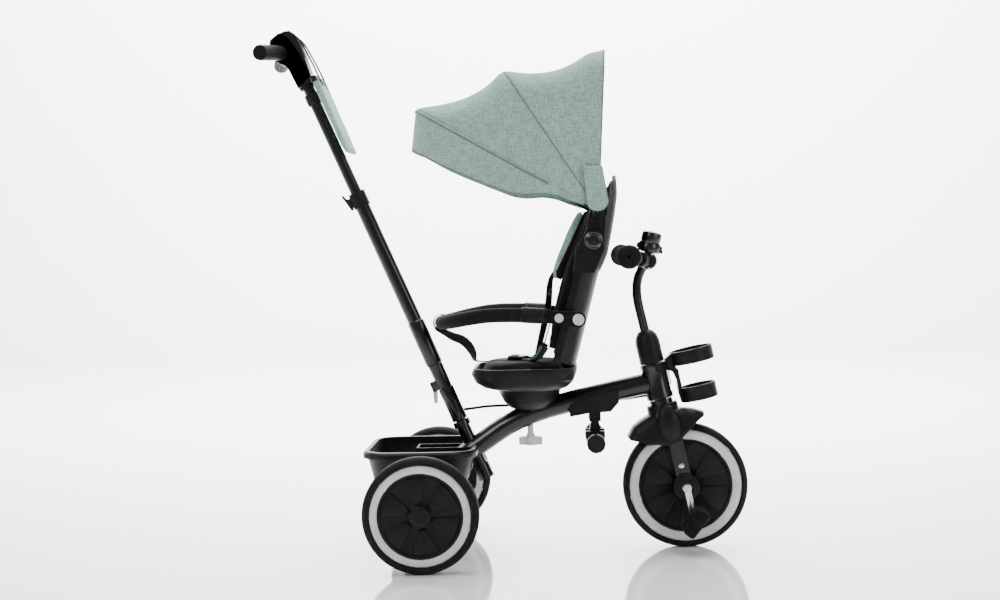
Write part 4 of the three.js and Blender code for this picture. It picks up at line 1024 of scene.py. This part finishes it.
crotchStrap = addStrap("crotch_strap",
                       barWrap + [(36, 3, 447), (52, 6, 438), (70, 5, 431), (84, 2, 419), (93, 0, 404),
                                  (97, 0, 390), (112, 0, 386), (145, 0, 388), (172, 0, 389)],
                       harness["strap"], upright, None, turns=(0, 0, 0, 0, 0, 0, 40, 95, 170, 180))
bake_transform(crotchStrap)
print("harness made")

# Backrest cover: a charcoal cloth that wraps the back of the shell and stands up behind it
backCover = {"foot": 566.0, "half": 104.0, "peak": 759.0, "drop": 22, "wrap": 22, "folds": 5,
             "foldDepth": 1.6, "wall": 2.4}
coverEdge = [(346, 552), (352, 563), (361, 580), (371, 604), (378, 640), (386, 684), (391, 722), (390, 745),
             (388, 759)]


def edgeAt(z):
    for (x0, z0), (x1, z1) in zip(coverEdge, coverEdge[1:]):
        if z <= z1:
            return x0 + (x1 - x0) * max(0.0, z - z0) / (z1 - z0)
    return coverEdge[-1][0]


def coverRule(u, v):
    across = 2 * u - 1
    bend = abs(across) ** 3
    top = backCover["peak"] - backCover["drop"] * across ** 2
    z = backCover["foot"] + (top - backCover["foot"]) * v
    fold = backCover["foldDepth"] * math.sin(backCover["folds"] * math.pi * across) * v
    back = edgeAt(z) - backCover["wrap"] * bend * (1 - 0.25 * v) + fold
    return Vector((back, backCover["half"] * across, z))


coverSheet = laidSheet(36, 30, coverRule)
coverArea = flatArea(coverSheet)
cover = makePiece("backrest_cover", coverSheet, upright, "liner_fabric", "seat", material=flapCloth,
                  crease=70, thick=backCover["wall"], subdivide=1)
hem = [coverRule(i / 40, 1.0) for i in range(41)]
makePiece("backrest_cover_hem", swept(hem, circle(2.0, 8), (1, 0, 0)), upright, "liner_fabric", "seat",
          material=blackWebbing, crease=70)

# Ribbed sleeves on the bumper bar, canopy bosses, badge and screws
sleeves = {"length": 46.0, "ribs": 9, "radius": 15.6, "bore": 14.6}
fittings = {"bossOut": 143.2, "forkForward": 9.4, "screwOut": 32.1, "screwUp": 44, "capOut": 32.6}


def sleeveShape():
    profile = [(sleeves["bore"], 0), (sleeves["radius"] - 0.6, 0)]
    pitch = sleeves["length"] / sleeves["ribs"]
    for i in range(sleeves["ribs"]):
        y = i * pitch
        profile += [(sleeves["radius"] - 0.8, y + 0.6), (sleeves["radius"] + 0.2, y + 1.4),
                    (sleeves["radius"] + 0.2, y + pitch - 0.9)]
    profile += [(sleeves["radius"] - 0.6, sleeves["length"]), (sleeves["bore"], sleeves["length"])]
    return spun(profile, 40)


for side, sign in bothSides:
    outward = Matrix.Rotation(0 if sign > 0 else math.pi, 4, "Z")
    place = upright @ along((243, sign * 120.6, 482.6), (-47, -sign * 2.6, 3))
    makePiece("bumper_sleeve_" + side, sleeveShape(), place, "plastic_black", "bumper", crease=35)
    boss = spun([(0, 0), (17.5, 0), (17.5, 1.2), (15.5, 2.2), (14, 1.4), (13, 2.4), (11, 3.0), (9.6, 1.8),
                 (6.5, 1.8), (5.5, 3.2), (0, 3.6)],
                48, closed=False)
    place = leaning(341, 630, 0, sign * fittings["bossOut"]) @ outward
    makePiece("canopy_boss_" + side, boss, place, "bell_black", "seat", crease=35)
    screw = spun([(0, 0), (6.2, 0), (6.2, 1.2), (5.0, 2.6), (2.6, 3.1), (2.4, 1.6), (0, 1.6)], 32,
                 closed=False)
    screwAt = (fittings["forkForward"], sign * fittings["screwOut"], fittings["screwUp"])
    place = steeringFrame @ Matrix.Translation(screwAt) @ outward
    makePiece("fork_screw_" + side, screw, place, "crank_chrome", "steering", crease=35)
    cap = spun([(9, 0), (26, 0), (26.6, 1), (26.4, 6.5), (24, 8.6), (20, 9.2), (18, 11.4), (13, 12),
                (9, 12)], 64)
    capAt = (fittings["forkForward"], sign * fittings["capOut"], 0)
    place = steeringFrame @ Matrix.Translation(capAt) @ outward
    makePiece("fork_hub_cap_" + side, cap, place, "plastic_black", "steering", crease=30)
badge = spun([(0, 0), (1, 0), (1, 0.06), (0.94, 0.12), (0.85, 0.13), (0.8, 0.1), (0, 0.12)], 40,
             closed=False)
place = steeringFrame @ Matrix.Translation((26.6, 0, 222)) @ Matrix.Rotation(math.radians(-90), 4, "Z") \
    @ Matrix.Diagonal((10, 20, 15, 1))
makePiece("head_badge", badge, place, "rim_grey", "frame", material=badgeWhite, crease=50)

# Handle head: a grey gloss face, and the bag's straps and binding
facePlate = swept([Vector(p) for p in ((-4, 0, 935.4), (9, 0, 934.4), (19, 0, 925.8), (24.3, 0, 912.4),
                                       (25.7, 0, 895), (23.4, 0, 868))],
                  band(31, 2.4), (0, 1, 0))
makePiece("handle_face", facePlate, handleFrame, "knob_grey", "handle_upper", material=glossFace, crease=50,
          bevel=0.8)
for side, sign in bothSides:
    addStrap("bag_loop_" + side,
             [(14, sign * 20, 932), (27, sign * 23, 905), (31, sign * 28, 866), (32.5, sign * 32, 830),
              (32, sign * 33, 800)],
             4, handleFrame, "handle_upper", thick=3.4)
bagRim = [Vector(p) for p in ((19, -63, 815), (23, -68.5, 815), (29, -65, 815), (31, -36, 814),
                              (31.5, 0, 813), (31, 36, 814), (29, 65, 815), (23, 68.5, 815), (19, 63, 815))]
makePiece("bag_binding", swept(smoothLine(bagRim, 5), band(12, 2.6), (0, 0, 1)), handleFrame,
          "liner_fabric", "handle_upper", material=blackWebbing, crease=50, bevel=0.6)
tubeStrap = spun([(13.4, -11), (15.2, -11), (15.6, 0), (15.2, 11), (13.4, 11)], 48)
makePiece("bag_tube_strap", tubeStrap, handleFrame @ Matrix.Translation((0, 0, 788)) @ quarterTurn,
          "liner_fabric", "handle_upper", material=blackWebbing)
print("small parts made")


# Stage, light and camera
stage = {"floor": "#f4f4f4", "size": 14.0, "wall": 5.0, "floorShine": 0.07, "wallShine": 0.9, "sky": 0.3}


def stagePlane(name, matrix, roughness):
    bm = bmesh.new()
    bmesh.ops.create_grid(bm, x_segments=1, y_segments=1, size=stage["size"] / 2, matrix=matrix)
    mesh = bpy.data.meshes.new(name)
    bm.to_mesh(mesh)
    bm.free()
    plane = bpy.data.objects.new(name, mesh)
    bpy.context.collection.objects.link(plane)
    mesh.materials.append(newSurface(name + "_paint", stage["floor"], {"Roughness": roughness})[0])


stagePlane("floor", Matrix.Identity(4), stage["floorShine"])
stagePlane("backdrop", Matrix.Translation((0, stage["wall"], 0)) @ quarterTurn, stage["wallShine"])
world = bpy.data.worlds.new("studio")
bpy.context.scene.world = world
world.use_nodes = True
world.node_tree.nodes["Background"].inputs["Color"].default_value = (1, 1, 1, 1)
world.node_tree.nodes["Background"].inputs["Strength"].default_value = stage["sky"]


def softBox(name, place, aim, size, watts):
    light = bpy.data.lights.new(name, "AREA")
    light.shape = "RECTANGLE"
    light.size, light.size_y = size
    light.energy = watts
    lamp = bpy.data.objects.new(name, light)
    bpy.context.collection.objects.link(lamp)
    facing = (Vector(aim) - Vector(place)).to_track_quat("-Z", "Y").to_matrix().to_4x4()
    lamp.matrix_world = Matrix.Translation(place) @ facing


lights = {  # place, what it aims at, size, all in metres, and watts
    "key": ((-2.2, -2.6, 2.8), (0, 0, 0.5), (1.6, 1.6), 55),
    "fill": ((2.8, -2.2, 1.6), (0, 0, 0.4), (1.2, 2.0), 30),
    "top": ((0, 0.6, 3.4), (0, 0.2, 0), (3.6, 2.6), 210),
    "wall_light": ((0, 2.2, 3.4), (0, 5, 1.2), (7, 2.5), 1500),
}
for name, (place, aim, size, watts) in lights.items():
    softBox(name, place, aim, size, watts)

# Camera: mm for its place, radians for its turns
view = {"place": (274.2, -3093.6, 630.8), "yaw": -0.0399, "pitch": 0.0385, "roll": -0.0208, "lens": 54.456}
yaw, pitch, roll = view["yaw"], view["pitch"], view["roll"]
level = Vector((math.sin(yaw), math.cos(yaw), 0))
sideways = Vector((math.cos(yaw), -math.sin(yaw), 0))
skyward = Vector((0, 0, 1))
cameraAhead = level * math.cos(pitch) - skyward * math.sin(pitch)
unrolledUp = skyward * math.cos(pitch) + level * math.sin(pitch)
cameraRight = sideways * math.cos(roll) + unrolledUp * math.sin(roll)
cameraUp = unrolledUp * math.cos(roll) - sideways * math.sin(roll)
camera = bpy.data.objects.new("camera", bpy.data.cameras.new("camera"))
camera.data.lens = view["lens"]
camera.data.sensor_width = 36
turned = Matrix((cameraRight, cameraUp, -cameraAhead)).transposed().to_4x4()
camera.matrix_world = Matrix.Translation(point(*view["place"])) @ turned
bpy.context.collection.objects.link(camera)
bpy.context.scene.camera = camera
